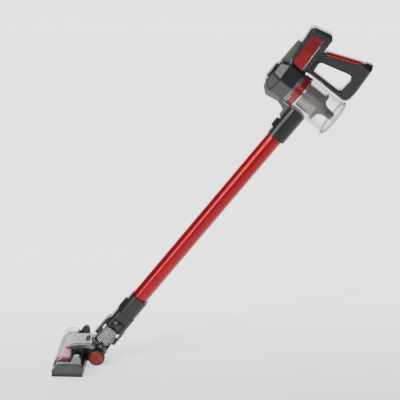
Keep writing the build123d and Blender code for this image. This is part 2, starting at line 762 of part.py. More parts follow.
with BuildPart() as wand_tube:
    with BuildSketch(section(TUBE_U - TUBE_SEAT + FIT)):
        Circle(TUBE_R)
        Circle(TUBE_R - TUBE_T, mode=Mode.SUBTRACT)
    extrude(amount=TUBE_SHOWS + 2 * (TUBE_SEAT - FIT))
save(wand_tube, "wand_tube")

with BuildPart() as upper_collar:
    with BuildSketch(section(COLLAR_U, COLLAR_V)):
        RectangleRounded(2 * COLLAR_R, 2 * COLLAR_R, COLLAR_ROUND)
    extrude(amount=UPPER_COLLAR_L + SEAM_RISE + 5)
    with BuildSketch(side(-2 * COLLAR_R)):
        make_face(seam_above(0))
    extrude(amount=4 * COLLAR_R, mode=Mode.SUBTRACT)
    with BuildSketch(section(COLLAR_U + TUBE_SEAT)):
        Circle(SOCKET_R - GAP)
    extrude(amount=SEAM_U + BIN_ABOVE_SEAM - COLLAR_U - TUBE_SEAT - 3)
    with BuildSketch(section(COLLAR_U)):
        Circle(SOCKET_R - GAP - SPIGOT_WALL)
    extrude(amount=2 * UPPER_COLLAR_L, mode=Mode.SUBTRACT)
    with BuildSketch(section(COLLAR_U)):
        Circle(TUBE_R + FIT)
    extrude(amount=TUBE_SEAT, mode=Mode.SUBTRACT)
    add(upper_pocket.part, mode=Mode.SUBTRACT)
save(upper_collar, "upper_collar")

lower_release = release_button(*LOWER_BUTTON, 4.5)
save(lower_release, "lower_release")
upper_release = release_button(*UPPER_BUTTON, 6.0)
save(upper_release, "upper_release")

# =========================================================== handheld: the cyclone line

with BuildPart() as inlet_neck:
    with BuildSketch(section(SEAM_U - 10, COLLAR_V)):
        RectangleRounded(2 * COLLAR_R, 2 * COLLAR_R, COLLAR_ROUND)
    extrude(amount=BIN_ABOVE_SEAM + 30)
    with BuildSketch(side(-2 * COLLAR_R)):
        with Locations((0, BIN_U)):
            Rectangle(4 * COLLAR_R, 400)
        make_face(seam_above(GAP), mode=Mode.INTERSECT)
    extrude(amount=4 * COLLAR_R, mode=Mode.INTERSECT)
    with BuildSketch(across(-80, BIN_U)):
        Circle(BIN_R + GAP)
    extrude(amount=160, mode=Mode.SUBTRACT)
    with BuildSketch(section(SEAM_U - 20)):
        Circle(SOCKET_R)
    extrude(amount=BIN_ABOVE_SEAM + 60, mode=Mode.SUBTRACT)
save(inlet_neck, "inlet_neck")

BRACKET_V = COLLAR_V - COLLAR_R - FIT
with BuildPart() as neck_bracket:
    with BuildSketch(side(-12)):
        with BuildLine():
            Polyline(
                (BRACKET_V, SEAM_U + 4),
                (BRACKET_V - 7, SEAM_U + 6),
                (BRACKET_V - 8, SEAM_U + 22),
                (BRACKET_V - 14, SEAM_U + 26),
                (COLLAR_FRONT_V + 0.5, SEAM_U + 31),
                (COLLAR_FRONT_V + 0.5, BIN_U - SILVER_R + 2),
                (BRACKET_V, BIN_U - SILVER_R + 2),
                close=True,
            )
        make_face()
    extrude(amount=24)
    with BuildSketch(across(-80, BIN_U)):
        Circle(SILVER_R + FIT)
    extrude(amount=60, mode=Mode.SUBTRACT)
    with BuildSketch(across(RING_V[0] - 7, BIN_U)):
        Circle(BIN_R + GAP)
    extrude(amount=60, mode=Mode.SUBTRACT)
save(neck_bracket, "neck_bracket")

COLLAR_STEP_V = RING_V[0] - 0.5
COLLAR_END_V = BIN_V[0] - 2.0
CORE_R = RING_R - 4.0
FILTER_R = CORE_R - 4.0

silver_collar = turned(
    [
        (COLLAR_FRONT_V, BIN_U + FILTER_R),
        (COLLAR_FRONT_V, BIN_U + SILVER_R - 1),
        (COLLAR_FRONT_V + 1, BIN_U + SILVER_R),
        (COLLAR_STEP_V, BIN_U + SILVER_R),
        (COLLAR_STEP_V, BIN_U + CORE_R),
        (COLLAR_END_V, BIN_U + CORE_R),
        (COLLAR_END_V, BIN_U + FILTER_R),
    ]
)
save(silver_collar, "silver_collar")

with BuildPart() as lock_ring:
    with BuildSketch(across(RING_V[0], BIN_U)):
        Circle(RING_R)
        Circle(CORE_R + GAP, mode=Mode.SUBTRACT)
    extrude(amount=RING_V[1] - RING_V[0])
    # finger tabs, forward over the silver collar on both sides
    for turn in (0, 180):
        with BuildSketch(across(RING_V[0] - 6, BIN_U)):
            Circle(RING_R)
            Circle(SILVER_R + GAP, mode=Mode.SUBTRACT)
            with Locations(Location((0, 0, 0), (0, 0, turn))):
                with Locations((RING_R, 0)):
                    Rectangle(24, 32, mode=Mode.INTERSECT)
        extrude(amount=6.5)
save(lock_ring, "lock_ring")

bin_trim = ring(RING_V[1] + GAP, BIN_V[0] - 0.3, RING_R + 1, CORE_R + GAP)
save(bin_trim, "bin_trim")

with BuildPart() as bin_cup:
    with BuildSketch(across(BIN_V[0], BIN_U)):
        Circle(BIN_R)
        Circle(BIN_R - BIN_T, mode=Mode.SUBTRACT)
    extrude(amount=BIN_V[1] - BIN_V[0])
    with BuildSketch(across(BIN_V[1] - 4, BIN_U)):
        Circle(BIN_RIM_R)
        Circle(BIN_R - BIN_T, mode=Mode.SUBTRACT)
    extrude(amount=4)
    # inlet port over the neck, and two ears for the lid's hinge
    with BuildSketch(section(BIN_U - BIN_RIM_R - 10)):
        Circle(SOCKET_R - 4)
    extrude(amount=BIN_R / 2, mode=Mode.SUBTRACT)
    for sign in (-1, 1):
        with BuildSketch(side(sign * 7.5)):
            with Locations((BIN_V[1] + 2, BIN_U - BIN_RIM_R - 3)):
                Circle(3)
            with Locations((BIN_V[1] - 1, BIN_U - BIN_RIM_R - 2)):
                Rectangle(6, 8)
            with Locations((BIN_V[1] + 2, BIN_U - BIN_RIM_R - 3)):
                Circle(1.0 + RUN, mode=Mode.SUBTRACT)
            with Locations((BIN_V[1] + 2, BIN_U - BIN_RIM_R + 5)):
                Rectangle(6, 10, mode=Mode.SUBTRACT)
        extrude(amount=1.5, both=True)
save(bin_cup, "bin_cup")

with BuildPart() as hinge_pin:
    with BuildSketch(side(-9)):
        with Locations((BIN_V[1] + 2, BIN_U - BIN_RIM_R - 3)):
            Circle(1.0)
    extrude(amount=18)
save(hinge_pin, "hinge_pin")

LID_V = BIN_V[1] + GAP
lid_disc = turned(
    [
        (LID_V, BIN_U),
        (LID_V, BIN_U + BIN_RIM_R),
        (LID_V + 2.4, BIN_U + BIN_RIM_R),
        (LID_V + 3.4, BIN_U + BIN_RIM_R - 1),
        (LID_V + 3.4, BIN_U + BIN_RIM_R - 9),
        (LID_V + 6.4, BIN_U + BIN_RIM_R - 15),
        (LID_V + 6.4, BIN_U),
    ]
)
with BuildPart() as bin_lid:
    add(lid_disc.part)
    with BuildSketch(side(-5.5)):
        with Locations((BIN_V[1] + 2, BIN_U - BIN_RIM_R - 3)):
            Circle(2.6)
        with Locations((BIN_V[1] + 2.2, BIN_U - BIN_RIM_R - 0.5)):
            Rectangle(3.2, 5)
        with Locations((BIN_V[1] + 2, BIN_U - BIN_RIM_R - 3)):
            Circle(1.0 + RUN, mode=Mode.SUBTRACT)
    extrude(amount=11)
    # a notch for the latch, opposite the hinge
    with BuildSketch(across(LID_V - 1, BIN_U + BIN_RIM_R - 3)):
        Rectangle(13, 8)
    extrude(amount=10, mode=Mode.SUBTRACT)
save(bin_lid, "bin_lid")

with BuildPart() as lid_latch:
    with BuildSketch(across(LID_V, BIN_U + BIN_RIM_R - 2.8)):
        Rectangle(12, 3.6)
    extrude(amount=5)
    fillet(lid_latch.edges().filter_by(Axis(at(0, 0), V_DIR)), radius=0.8)
save(lid_latch, "lid_latch")

SHROUD_END_V = 28.0
with BuildPart() as shroud:
    with BuildSketch(across(COLLAR_END_V + 0.1, BIN_U)):
        Circle(CORE_R - 0.5)
        Circle(SHROUD_R - 2, mode=Mode.SUBTRACT)
    extrude(amount=2.4)
    with BuildSketch(across(COLLAR_END_V + 0.1, BIN_U)):
        Circle(SHROUD_R)
        Circle(SHROUD_R - 1.5, mode=Mode.SUBTRACT)
    extrude(amount=SHROUD_END_V - COLLAR_END_V - 0.1)
save(shroud, "shroud")

shroud_skirt = turned(
    [
        (SHROUD_END_V + 0.1, BIN_U),
        (SHROUD_END_V + 0.1, BIN_U + SHROUD_R),
        (SHROUD_END_V + 8, BIN_U + SKIRT_R),
        (SHROUD_END_V + 9.5, BIN_U + SKIRT_R),
        (SHROUD_END_V + 4, BIN_U + SHROUD_R - 4),
        (SHROUD_END_V + 4, BIN_U),
    ]
)
save(shroud_skirt, "shroud_skirt")

cyclone_cone = turned(
    [
        (SHROUD_END_V + 4.1, BIN_U + CONE_R[0] - 2),
        (SHROUD_END_V + 4.1, BIN_U + CONE_R[0] + 2),
        (SHROUD_END_V + 12, BIN_U + CONE_R[0] - 1),
        (BIN_V[1] - 25, BIN_U + CONE_R[1] + 3),
        (BIN_V[1] - 1, BIN_U + CONE_R[1]),
        (BIN_V[1] - 1, BIN_U + CONE_R[1] - 1.6),
        (BIN_V[1] - 25, BIN_U + CONE_R[1] + 1.4),
        (SHROUD_END_V + 12, BIN_U + CONE_R[0] - 3),
    ]
)
save(cyclone_cone, "cyclone_cone")

pre_filter = ring(COLLAR_END_V + 2, SHROUD_END_V - 1, SHROUD_R - 3, SHROUD_R - 14)
save(pre_filter, "pre_filter")
hepa_filter = ring(COLLAR_FRONT_V + 2, COLLAR_END_V - 8, FILTER_R - 0.3)
save(hepa_filter, "hepa_filter")

# motor line
SHAFT_R = 2.5
MOTOR_V = (HEX_V + 4, -62.0)
motor = ring(*MOTOR_V, MOTOR_R, SHAFT_R + RUN)
save(motor, "motor")
HOUSING_BORE = HEX_FLATS / 2 - 3.5
motor_mount = ring(MOTOR_V[0] + 10, MOTOR_V[0] + 18, HOUSING_BORE - FIT, MOTOR_R + FIT)
save(motor_mount, "motor_mount")

with BuildPart() as impeller:
    with BuildSketch(across(MOTOR_V[1] + 1, BIN_U)):
        Circle(MOTOR_R - 2)
    extrude(amount=3.5)
    with BuildSketch(across(MOTOR_V[0] - 1, BIN_U)):
        Circle(SHAFT_R)
    extrude(amount=MOTOR_V[1] - MOTOR_V[0] + 3)
save(impeller, "impeller")

HEX_R = HEX_FLATS / sqrt(3)
NOSE_R = NOSE_FLATS / sqrt(3)

with BuildPart() as motor_housing:
    with BuildSketch(across(HEX_V, BIN_U)):
        RegularPolygon(HEX_R, 6)
    extrude(amount=COLLAR_FRONT_V - 0.1 - HEX_V)
    chamfer(motor_housing.edges().filter_by(Axis(at(0, 0), V_DIR)), length=1.5)
    with BuildSketch(across(HEX_V, BIN_U)):
        Circle(HOUSING_BORE)
    extrude(amount=COLLAR_FRONT_V - HEX_V, mode=Mode.SUBTRACT)
save(motor_housing, "motor_housing")

with BuildPart() as front_bezel:
    with BuildSketch(across(HEX_V - 0.1, BIN_U)):
        RegularPolygon(HEX_R - 1, 6)
    with BuildSketch(across(NOSE_V, BIN_U)):
        RegularPolygon(NOSE_R, 6)
    loft()
    with BuildSketch(across(HEX_V, BIN_U)):
        RegularPolygon(HEX_R - 5, 6)
    with BuildSketch(across(NOSE_V + 3, BIN_U)):
        RegularPolygon(NOSE_R - 4, 6)
    loft(mode=Mode.SUBTRACT)
    with BuildSketch(across(NOSE_V - 1, BIN_U)):
        Circle(NOSE_FLATS / 2 - 8)
    extrude(amount=8, mode=Mode.SUBTRACT)
    for k in range(6):
        turn = radians(30 + 60 * k)
        radial = Vector(cos(turn), 0, 0) + U_DIR * sin(turn)
        window_plane = Plane(at((HEX_V + NOSE_V) / 2, BIN_U), x_dir=V_DIR, z_dir=radial)
        with BuildSketch(window_plane):
            RectangleRounded(15, 26, 6)
        extrude(amount=HEX_R, mode=Mode.SUBTRACT)
save(front_bezel, "front_bezel")

DOME_R = HEX_FLATS / 2 - 8.5
front_cap = turned(
    [
        (HEX_V - 0.5, BIN_U),
        (HEX_V - 0.5, BIN_U + DOME_R),
        (HEX_V - 8, BIN_U + DOME_R - 2),
        (NOSE_V + 8, BIN_U + DOME_R - 11),
        (NOSE_V + 4, BIN_U + DOME_R - 17),
        (NOSE_V + 4, BIN_U),
    ]
)
save(front_cap, "front_cap")

GRILLE_R = NOSE_FLATS / 2 - 8 - FIT
with BuildPart() as front_grille:
    with BuildSketch(across(NOSE_V - 4, BIN_U)):
        Circle(GRILLE_R)
        for radius in (4.0, 9.0, 14.0):
            Circle(radius + 2.6, mode=Mode.SUBTRACT)
            Circle(radius, mode=Mode.ADD)
        Rectangle(3, 2 * GRILLE_R - 1)
        Rectangle(2 * GRILLE_R - 1, 3)
    extrude(amount=7.8)
save(front_grille, "front_grille")

with BuildPart() as belly_shell:
    with BuildSketch(side(-16)):
        with BuildLine():
            Polyline(
                (NOSE_V + 2, BIN_U - NOSE_FLATS / 2 - 1.5),
                (HEX_V - 18, BIN_U - 47),
                (HEX_V - 1, BIN_U - 61),
                (HEX_V + 33, BIN_U - 54),
                (COLLAR_FRONT_V + 0.2, BIN_U - 54),
                (COLLAR_FRONT_V + 0.2, BIN_U - HEX_FLATS / 2 - 0.3),
                (HEX_V, BIN_U - HEX_FLATS / 2 - 0.3),
                close=True,
            )
        make_face()
    extrude(amount=32)
    with BuildSketch(across(NOSE_V, BIN_U)):
        with BuildLine():
            Polyline((-16, -20), (-16, -46), (-8, -62), (8, -62), (16, -46), (16, -20), close=True)
        make_face()
    extrude(amount=COLLAR_FRONT_V - NOSE_V + 1, mode=Mode.INTERSECT)
save(belly_shell, "belly_shell")

# =========================================================== handheld: block and handle
BLOCK_LOW_U = BIN_U + HEX_FLATS / 2 + 0.3
ARM_LOW_U = BIN_U + BIN_RIM_R + 1.4
STRIP_T = 3.2
BLOCK = [
    (-48.0, BLOCK_LOW_U),
    (-46.0, BLOCK_LOW_U + 61),
    (-49.5, BLOCK_LOW_U + 113),
    (-58.0, BLOCK_LOW_U + 121.5),
    (-66.0, BLOCK_LOW_U + 120.5),
    (-104.0, BLOCK_LOW_U + 111),
    (-111.5, BLOCK_LOW_U + 102),
    (-106.5, BLOCK_LOW_U + 56),
    (-98.0, BLOCK_LOW_U + 10),
    (-92.0, BLOCK_LOW_U),
]
COLUMN_TOP_U = BIN_U + 158.0
LOOP = [
    (-50.0, ARM_LOW_U),
    (69.0, ARM_LOW_U),
    (80.0, ARM_LOW_U + 6),
    (84.0, ARM_LOW_U + 18),
    (84.0, ARM_LOW_U + 42),
    (79.0, COLUMN_TOP_U),
    (57.0, COLUMN_TOP_U),
    (52.0, BIN_U + 162.5 - STRIP_T),
    (-44.0, BIN_U + 123 - STRIP_T),
    (-50.0, BIN_U + 118),
]
GAP_CORNERS = [
    (-35.0, ARM_LOW_U + 13.0),
    (44.0, ARM_LOW_U + 14.5),
    (51.0, ARM_LOW_U + 20),
    (53.0, ARM_LOW_U + 54),
    (46.0, ARM_LOW_U + 63),
    (34.0, ARM_LOW_U + 61),
    (-34.0, ARM_LOW_U + 42),
    (-37.5, ARM_LOW_U + 36),
]
PANEL_OUTLINE = [
    (-97.5, BLOCK_LOW_U + 92),
    (-67.5, BLOCK_LOW_U + 97),
    (-61.5, BLOCK_LOW_U + 3),
    (-92.5, BLOCK_LOW_U + 8),
]
BEVEL = 9.0
PANEL_SEAT = 1.7
VENT_HOLE_R = 1.5
HALF_SPLIT = 0.05  # each half stops this far from the middle
JACK_U = ARM_LOW_U + 30
POWER_U = BLOCK_LOW_U + 88
MODE_U = BLOCK_LOW_U + 104
FACE_V = -48.0  # the block's rear face, near the buttons
REAR_V = 84.0


def outline(points):
    """The closed edges through a list of sketch points."""
    with BuildLine() as line:
        Polyline(*points, close=True)
    return line.edges()


def half_block(sign):
    """The block's outer form on one side, bevelled towards its side panel."""
    with BuildPart() as block:
        with BuildSketch(side(sign * HALF_SPLIT)):
            make_face(outline(BLOCK))
        extrude(amount=sign * (BLOCK_HALF - HALF_SPLIT))
        outer_face = block.faces().sort_by(Axis.X)[-1 if sign > 0 else 0]
        chamfer(outer_face.edges(), length=BEVEL, length2=BEVEL)
    return block


def half_loop(sign):
    """The handle's loop on one side, rounded along its outer edges."""
    with BuildPart() as loop:
        with BuildSketch(side(sign * HALF_SPLIT)):
            make_face(outline(LOOP))
            make_face(outline(GAP_CORNERS), mode=Mode.SUBTRACT)
        extrude(amount=sign * (HANDLE_HALF - HALF_SPLIT))
        outer_face = loop.faces().sort_by(Axis.X)[-1 if sign > 0 else 0]
        chamfer(outer_face.edges(), length=4.5)
    return loop


for sign, where in ((-1, "left"), (1, "right")):
    block, loop = half_block(sign), half_loop(sign)
    with BuildPart() as body_shell:
        add(block.part)
        add(loop.part)
        # hollow inside, open towards the other half
        with BuildSketch(side(0)):
            make_face(outline(BLOCK))
            offset(amount=-SHELL_T, kind=Kind.INTERSECTION)
        extrude(amount=sign * (BLOCK_HALF - BEVEL - 1), mode=Mode.SUBTRACT)
        with BuildSketch(side(0)):
            make_face(outline(BLOCK))
            offset(amount=-SHELL_T - BEVEL + 1, kind=Kind.INTERSECTION)
        extrude(amount=sign * (BLOCK_HALF - PANEL_SEAT - 1), mode=Mode.SUBTRACT)
        with BuildSketch(side(0)):
            make_face(outline(LOOP))
            make_face(outline(GAP_CORNERS), mode=Mode.SUBTRACT)
            offset(amount=-SHELL_T - 1, kind=Kind.INTERSECTION)
        extrude(amount=sign * (HANDLE_HALF - SHELL_T - 3), mode=Mode.SUBTRACT)
        # the side panel's seat
        with BuildSketch(side(sign * BLOCK_HALF)):
            make_face(outline(PANEL_OUTLINE))
            offset(amount=FIT, kind=Kind.INTERSECTION)
        extrude(amount=-sign * PANEL_SEAT, mode=Mode.SUBTRACT)
        # buttons in the block's rear face, and the charging jack in the column
        with BuildSketch(across(FACE_V - 8, 0)):
            with Locations((0, POWER_U)):
                RectangleRounded(14.8, 12.8, 4)
            with Locations((0, MODE_U)):
                RectangleRounded(10.8, 8.8, 3)
        extrude(amount=12, mode=Mode.SUBTRACT)
        with BuildSketch(across(REAR_V - 9, JACK_U)):
            Circle(5.5 + FIT)
        extrude(amount=12, mode=Mode.SUBTRACT)
    save(body_shell, f"body_shell_{where}")

with BuildPart() as side_covers:
    for sign in (-1, 1):
        with BuildSketch(side(sign * (BLOCK_HALF - PANEL_SEAT + FIT))):
            make_face(outline(PANEL_OUTLINE))
        extrude(amount=sign * PANEL_T)
    for outer_face in (side_covers.faces().sort_by(Axis.X)[-1], side_covers.faces().sort_by(Axis.X)[0]):
        chamfer(outer_face.edges(), length=0.5)
    with BuildSketch(side(-2 * BLOCK_HALF)):
        with Locations((-80.5, BLOCK_LOW_U + 70)):
            with GridLocations(5.4, 6.4, 4, 6):
                Circle(VENT_HOLE_R)
    extrude(amount=4 * BLOCK_HALF, mode=Mode.SUBTRACT)
save(side_covers, "side_covers")

with BuildPart() as grip_strip:
    with BuildSketch(side(-9)):
        with BuildLine():
            Polyline(
                (-43.5, BIN_U + 123.2 - STRIP_T + 0.1),
                (51.8, BIN_U + 162.5 - STRIP_T + 0.1),
                (51.5, BIN_U + 162.5),
                (-43.5, BIN_U + 123),
                close=True,
            )
        make_face()
    extrude(amount=18)
save(grip_strip, "grip_strip")

with BuildPart() as handle_cap:
    with BuildSketch(side(-HANDLE_HALF + 3)):
        with BuildLine():
            Polyline(
                (57.5, COLUMN_TOP_U + FIT),
                (78.7, COLUMN_TOP_U + FIT),
                HANDLE_TOP,
                (70.0, HANDLE_TOP[1] + 0.5),
                (55.0, BIN_U + 165),
                (54.0, BIN_U + 162),
                close=True,
            )
        make_face()
    extrude(amount=2 * HANDLE_HALF - 6)
    chamfer(handle_cap.faces().sort_by(Axis.X)[-1].edges(), length=2)
    chamfer(handle_cap.faces().sort_by(Axis.X)[0].edges(), length=2)
save(handle_cap, "handle_cap")

with BuildPart() as front_brace:
    with BuildSketch(side(-8)):
        with BuildLine():
            Polyline(
                (-93.5, BLOCK_LOW_U - 0.1),
                (-98.4, BLOCK_LOW_U + 10),
                (-106.9, BLOCK_LOW_U + 56),
                (-112.0, BLOCK_LOW_U + 59),
                (-116.5, BLOCK_LOW_U + 54),
                (-117.5, BLOCK_LOW_U - 10),
                (-115.0, BIN_U + 33.4),
                (-112.0, BIN_U + 34.8),
                (-94.0, BLOCK_LOW_U - 1),
                close=True,
            )
        make_face()
    extrude(amount=16)
save(front_brace, "front_brace")

with BuildPart() as battery_cells:
    for v in (-87.0, -87.0 + 2 * CELL_R + 0.3):
        for x in (-CELL_R - 0.2, CELL_R + 0.2):
            with BuildSketch(section(BLOCK_LOW_U + 12, v)):
                with Locations((x, 0)):
                    Circle(CELL_R)
            extrude(amount=CELL_L)
save(battery_cells, "battery_cells")

with BuildPart() as charge_jack:
    with BuildSketch(across(REAR_V - 9 + FIT, JACK_U)):
        Circle(5.5)
    extrude(amount=8.9)
    with BuildSketch(across(REAR_V - 12, JACK_U)):
        Circle(4.0)
    extrude(amount=3.2)
    with BuildSketch(across(REAR_V - JACK_L, JACK_U)):
        Circle(JACK_R)
    extrude(amount=JACK_L + 1, mode=Mode.SUBTRACT)
save(charge_jack, "charge_jack")


def face_button(u, width, height):
    """A button in the block's rear face."""
    with BuildPart() as made:
        with BuildSketch(across(FACE_V - 6.5, u)):
            RectangleRounded(width, height, 2.8)
        extrude(amount=8.0)
        fillet(made.faces().sort_by(Axis(at(0, 0), V_DIR))[-1].edges(), radius=0.8)
    return made


power_button = face_button(POWER_U, 14, 12)
save(power_button, "power_button")
mode_button = face_button(MODE_U, 10, 8)
save(mode_button, "mode_button")
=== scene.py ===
"""Looks for a cordless stick vacuum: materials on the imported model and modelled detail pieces."""
import math
import random

import bmesh
import bpy
from mathutils import Matrix, Vector


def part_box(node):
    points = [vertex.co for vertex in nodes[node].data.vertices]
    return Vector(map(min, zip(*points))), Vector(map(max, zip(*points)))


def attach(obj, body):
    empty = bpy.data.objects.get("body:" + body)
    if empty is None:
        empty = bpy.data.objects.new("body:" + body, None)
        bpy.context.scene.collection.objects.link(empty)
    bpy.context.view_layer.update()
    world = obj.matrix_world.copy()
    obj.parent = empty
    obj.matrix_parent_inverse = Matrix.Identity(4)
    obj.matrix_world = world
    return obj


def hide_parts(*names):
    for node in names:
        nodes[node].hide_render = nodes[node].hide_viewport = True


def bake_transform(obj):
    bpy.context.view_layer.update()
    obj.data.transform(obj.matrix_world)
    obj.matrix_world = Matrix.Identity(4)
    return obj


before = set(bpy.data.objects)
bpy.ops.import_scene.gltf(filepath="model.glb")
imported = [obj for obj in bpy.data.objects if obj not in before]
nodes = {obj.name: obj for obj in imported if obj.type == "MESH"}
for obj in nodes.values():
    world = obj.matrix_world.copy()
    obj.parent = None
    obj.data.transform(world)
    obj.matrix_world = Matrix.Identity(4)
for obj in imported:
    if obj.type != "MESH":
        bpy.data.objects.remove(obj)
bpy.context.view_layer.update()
rng = random.Random(7)

# ------------------------------------------------------------ lean coordinates
LEAN = math.radians(51.5)
C, S = math.cos(LEAN), math.sin(LEAN)
AXLE_Y = -0.30394
PIVOT = Vector((0, AXLE_Y + 0.011, 0.0535))
U_DIR = Vector((0, C, S))
V_DIR = Vector((0, S, -C))
X_DIR = Vector((1, 0, 0))
BIN_U = 0.873
ARM_U = 0.9244
BLOCK_U = 0.9173
BRUSH = Vector((0, AXLE_Y - 0.078, 0.024))


def at(x, v, u):
    """The point at lean coordinates, in metres."""
    return PIVOT + X_DIR * x + V_DIR * v + U_DIR * u


# ------------------------------------------------------------------ materials
def tree(name):
    m = bpy.data.materials.new(name)
    m.use_nodes = True
    n, l = m.node_tree.nodes, m.node_tree.links
    return m, n, l, n["Principled BSDF"]


def noise(n, l, coord, scale, detail=4.0, rough=0.5):
    t = n.new("ShaderNodeTexNoise")
    t.inputs["Scale"].default_value = scale
    t.inputs["Detail"].default_value = detail
    t.inputs["Roughness"].default_value = rough
    l.new(coord, t.inputs["Vector"])
    return t


def ramp(n, l, fac, stops):
    r = n.new("ShaderNodeValToRGB")
    r.color_ramp.elements[0].position, r.color_ramp.elements[0].color = stops[0][0], (*stops[0][1], 1)
    r.color_ramp.elements[1].position, r.color_ramp.elements[1].color = stops[-1][0], (*stops[-1][1], 1)
    for pos, col in stops[1:-1]:
        r.color_ramp.elements.new(pos).color = (*col, 1)
    l.new(fac, r.inputs["Fac"])
    return r.outputs["Color"]


def shade(colour, k):
    return tuple(min(1.0, c * k) for c in colour)


def moulded(name, colour, rough=0.4, grain=900.0, bump=0.06, vary=0.12, metallic=0.0, coat=0.0,
            coat_rough=0.1, wear=0.0, spread=0.12, spec=0.5):
    """A moulded or sprayed surface: fine grain, cloudy tone, uneven gloss and light scuffs."""
    m, n, l, b = tree(name)
    coord = n.new("ShaderNodeTexCoord").outputs["Object"]
    cloud = noise(n, l, coord, 34.0, 3.0)
    fine = noise(n, l, coord, grain, 5.0, 0.65)
    col = ramp(n, l, cloud.outputs["Fac"],
               [(0.3, shade(colour, 1 - vary)), (0.7, shade(colour, 1 + vary))])
    if wear:
        scuff = noise(n, l, coord, 260.0, 8.0, 0.8)
        mask = ramp(n, l, scuff.outputs["Fac"], [(0.63, (0, 0, 0)), (0.72, (wear,) * 3)])
        mix = n.new("ShaderNodeMix")
        mix.data_type = "RGBA"
        l.new(mask, mix.inputs["Factor"])
        l.new(col, mix.inputs["A"])
        mix.inputs["B"].default_value = (*[c * 1.6 + 0.03 for c in colour], 1)
        col = mix.outputs["Result"]
    l.new(col, b.inputs["Base Color"])
    r = n.new("ShaderNodeMapRange")
    l.new(noise(n, l, coord, 90.0, 4.0).outputs["Fac"], r.inputs["Value"])
    r.inputs["From Min"].default_value, r.inputs["From Max"].default_value = 0.3, 0.7
    r.inputs["To Min"].default_value = max(0.02, rough * (1 - spread))
    r.inputs["To Max"].default_value = min(1.0, rough * (1 + spread))
    l.new(r.outputs["Result"], b.inputs["Roughness"])
    bp = n.new("ShaderNodeBump")
    bp.inputs["Strength"].default_value = bump
    bp.inputs["Distance"].default_value = 0.00012
    l.new(fine.outputs["Fac"], bp.inputs["Height"])
    l.new(bp.outputs["Normal"], b.inputs["Normal"])
    b.inputs["Metallic"].default_value = metallic
    b.inputs["Specular IOR Level"].default_value = spec
    b.inputs["Coat Weight"].default_value = coat
    b.inputs["Coat Roughness"].default_value = coat_rough
    return m


def brushed(name, colour, rough=0.3, along="z", metallic=1.0, strength=0.12, scale=60.0, coat=0.0):
    """Metal with fine drawn lines along one lean direction."""
    m, n, l, b = tree(name)
    coord = n.new("ShaderNodeTexCoord").outputs["Object"]
    mp = n.new("ShaderNodeMapping")
    l.new(coord, mp.inputs["Vector"])
    mp.inputs["Rotation"].default_value = (math.pi / 2 - LEAN, 0, 0)
    stretch = {"x": (0.04, 1, 1), "v": (1, 0.04, 1), "z": (1, 1, 0.04)}[along]
    mp.inputs["Scale"].default_value = [s * scale for s in stretch]
    lines = noise(n, l, mp.outputs["Vector"], 12.0, 6.0, 0.7)
    cloud = noise(n, l, coord, 26.0, 3.0)
    l.new(ramp(n, l, cloud.outputs["Fac"], [(0.3, shade(colour, 0.95)), (0.7, shade(colour, 1.05))]),
          b.inputs["Base Color"])
    r = n.new("ShaderNodeMapRange")
    l.new(lines.outputs["Fac"], r.inputs["Value"])
    r.inputs["To Min"].default_value, r.inputs["To Max"].default_value = rough * 0.88, rough * 1.15
    l.new(r.outputs["Result"], b.inputs["Roughness"])
    bp = n.new("ShaderNodeBump")
    bp.inputs["Strength"].default_value = strength
    bp.inputs["Distance"].default_value = 0.0003
    l.new(lines.outputs["Fac"], bp.inputs["Height"])
    l.new(bp.outputs["Normal"], b.inputs["Normal"])
    b.inputs["Metallic"].default_value = metallic
    b.inputs["Coat Weight"].default_value = coat
    b.inputs["Coat Roughness"].default_value = 0.08
    return m


def clear(name, tint, low=0.06, high=0.75, rough=0.05, haze=0.03):
    """Clear moulded plastic: thin face on, denser at its edges, with faint rub marks."""
    m, n, l, b = tree(name)
    coord = n.new("ShaderNodeTexCoord").outputs["Object"]
    lw = n.new("ShaderNodeLayerWeight")
    lw.inputs["Blend"].default_value = 0.28
    rub = noise(n, l, coord, 140.0, 6.0, 0.7)
    base = n.new("ShaderNodeMapRange")
    l.new(lw.outputs["Facing"], base.inputs["Value"])
    base.inputs["To Min"].default_value, base.inputs["To Max"].default_value = low, high
    add = n.new("ShaderNodeMath")
    add.operation = "MULTIPLY_ADD"
    l.new(rub.outputs["Fac"], add.inputs[0])
    add.inputs[1].default_value = haze
    l.new(base.outputs["Result"], add.inputs[2])
    l.new(add.outputs["Value"], b.inputs["Alpha"])
    edge = n.new("ShaderNodeMix")
    edge.data_type = "RGBA"
    l.new(lw.outputs["Facing"], edge.inputs["Factor"])
    l.new(ramp(n, l, rub.outputs["Fac"], [(0.3, shade(tint, 0.94)), (0.7, tint)]), edge.inputs["A"])
    edge.inputs["B"].default_value = (*shade(tint, 0.22), 1)
    l.new(edge.outputs["Result"], b.inputs["Base Color"])
    r = n.new("ShaderNodeMapRange")
    l.new(rub.outputs["Fac"], r.inputs["Value"])
    r.inputs["To Min"].default_value, r.inputs["To Max"].default_value = rough, rough * 3
    l.new(r.outputs["Result"], b.inputs["Roughness"])
    b.inputs["IOR"].default_value = 1.5
    b.inputs["Coat Weight"].default_value = 0.6
    b.inputs["Coat Roughness"].default_value = 0.03
    return m


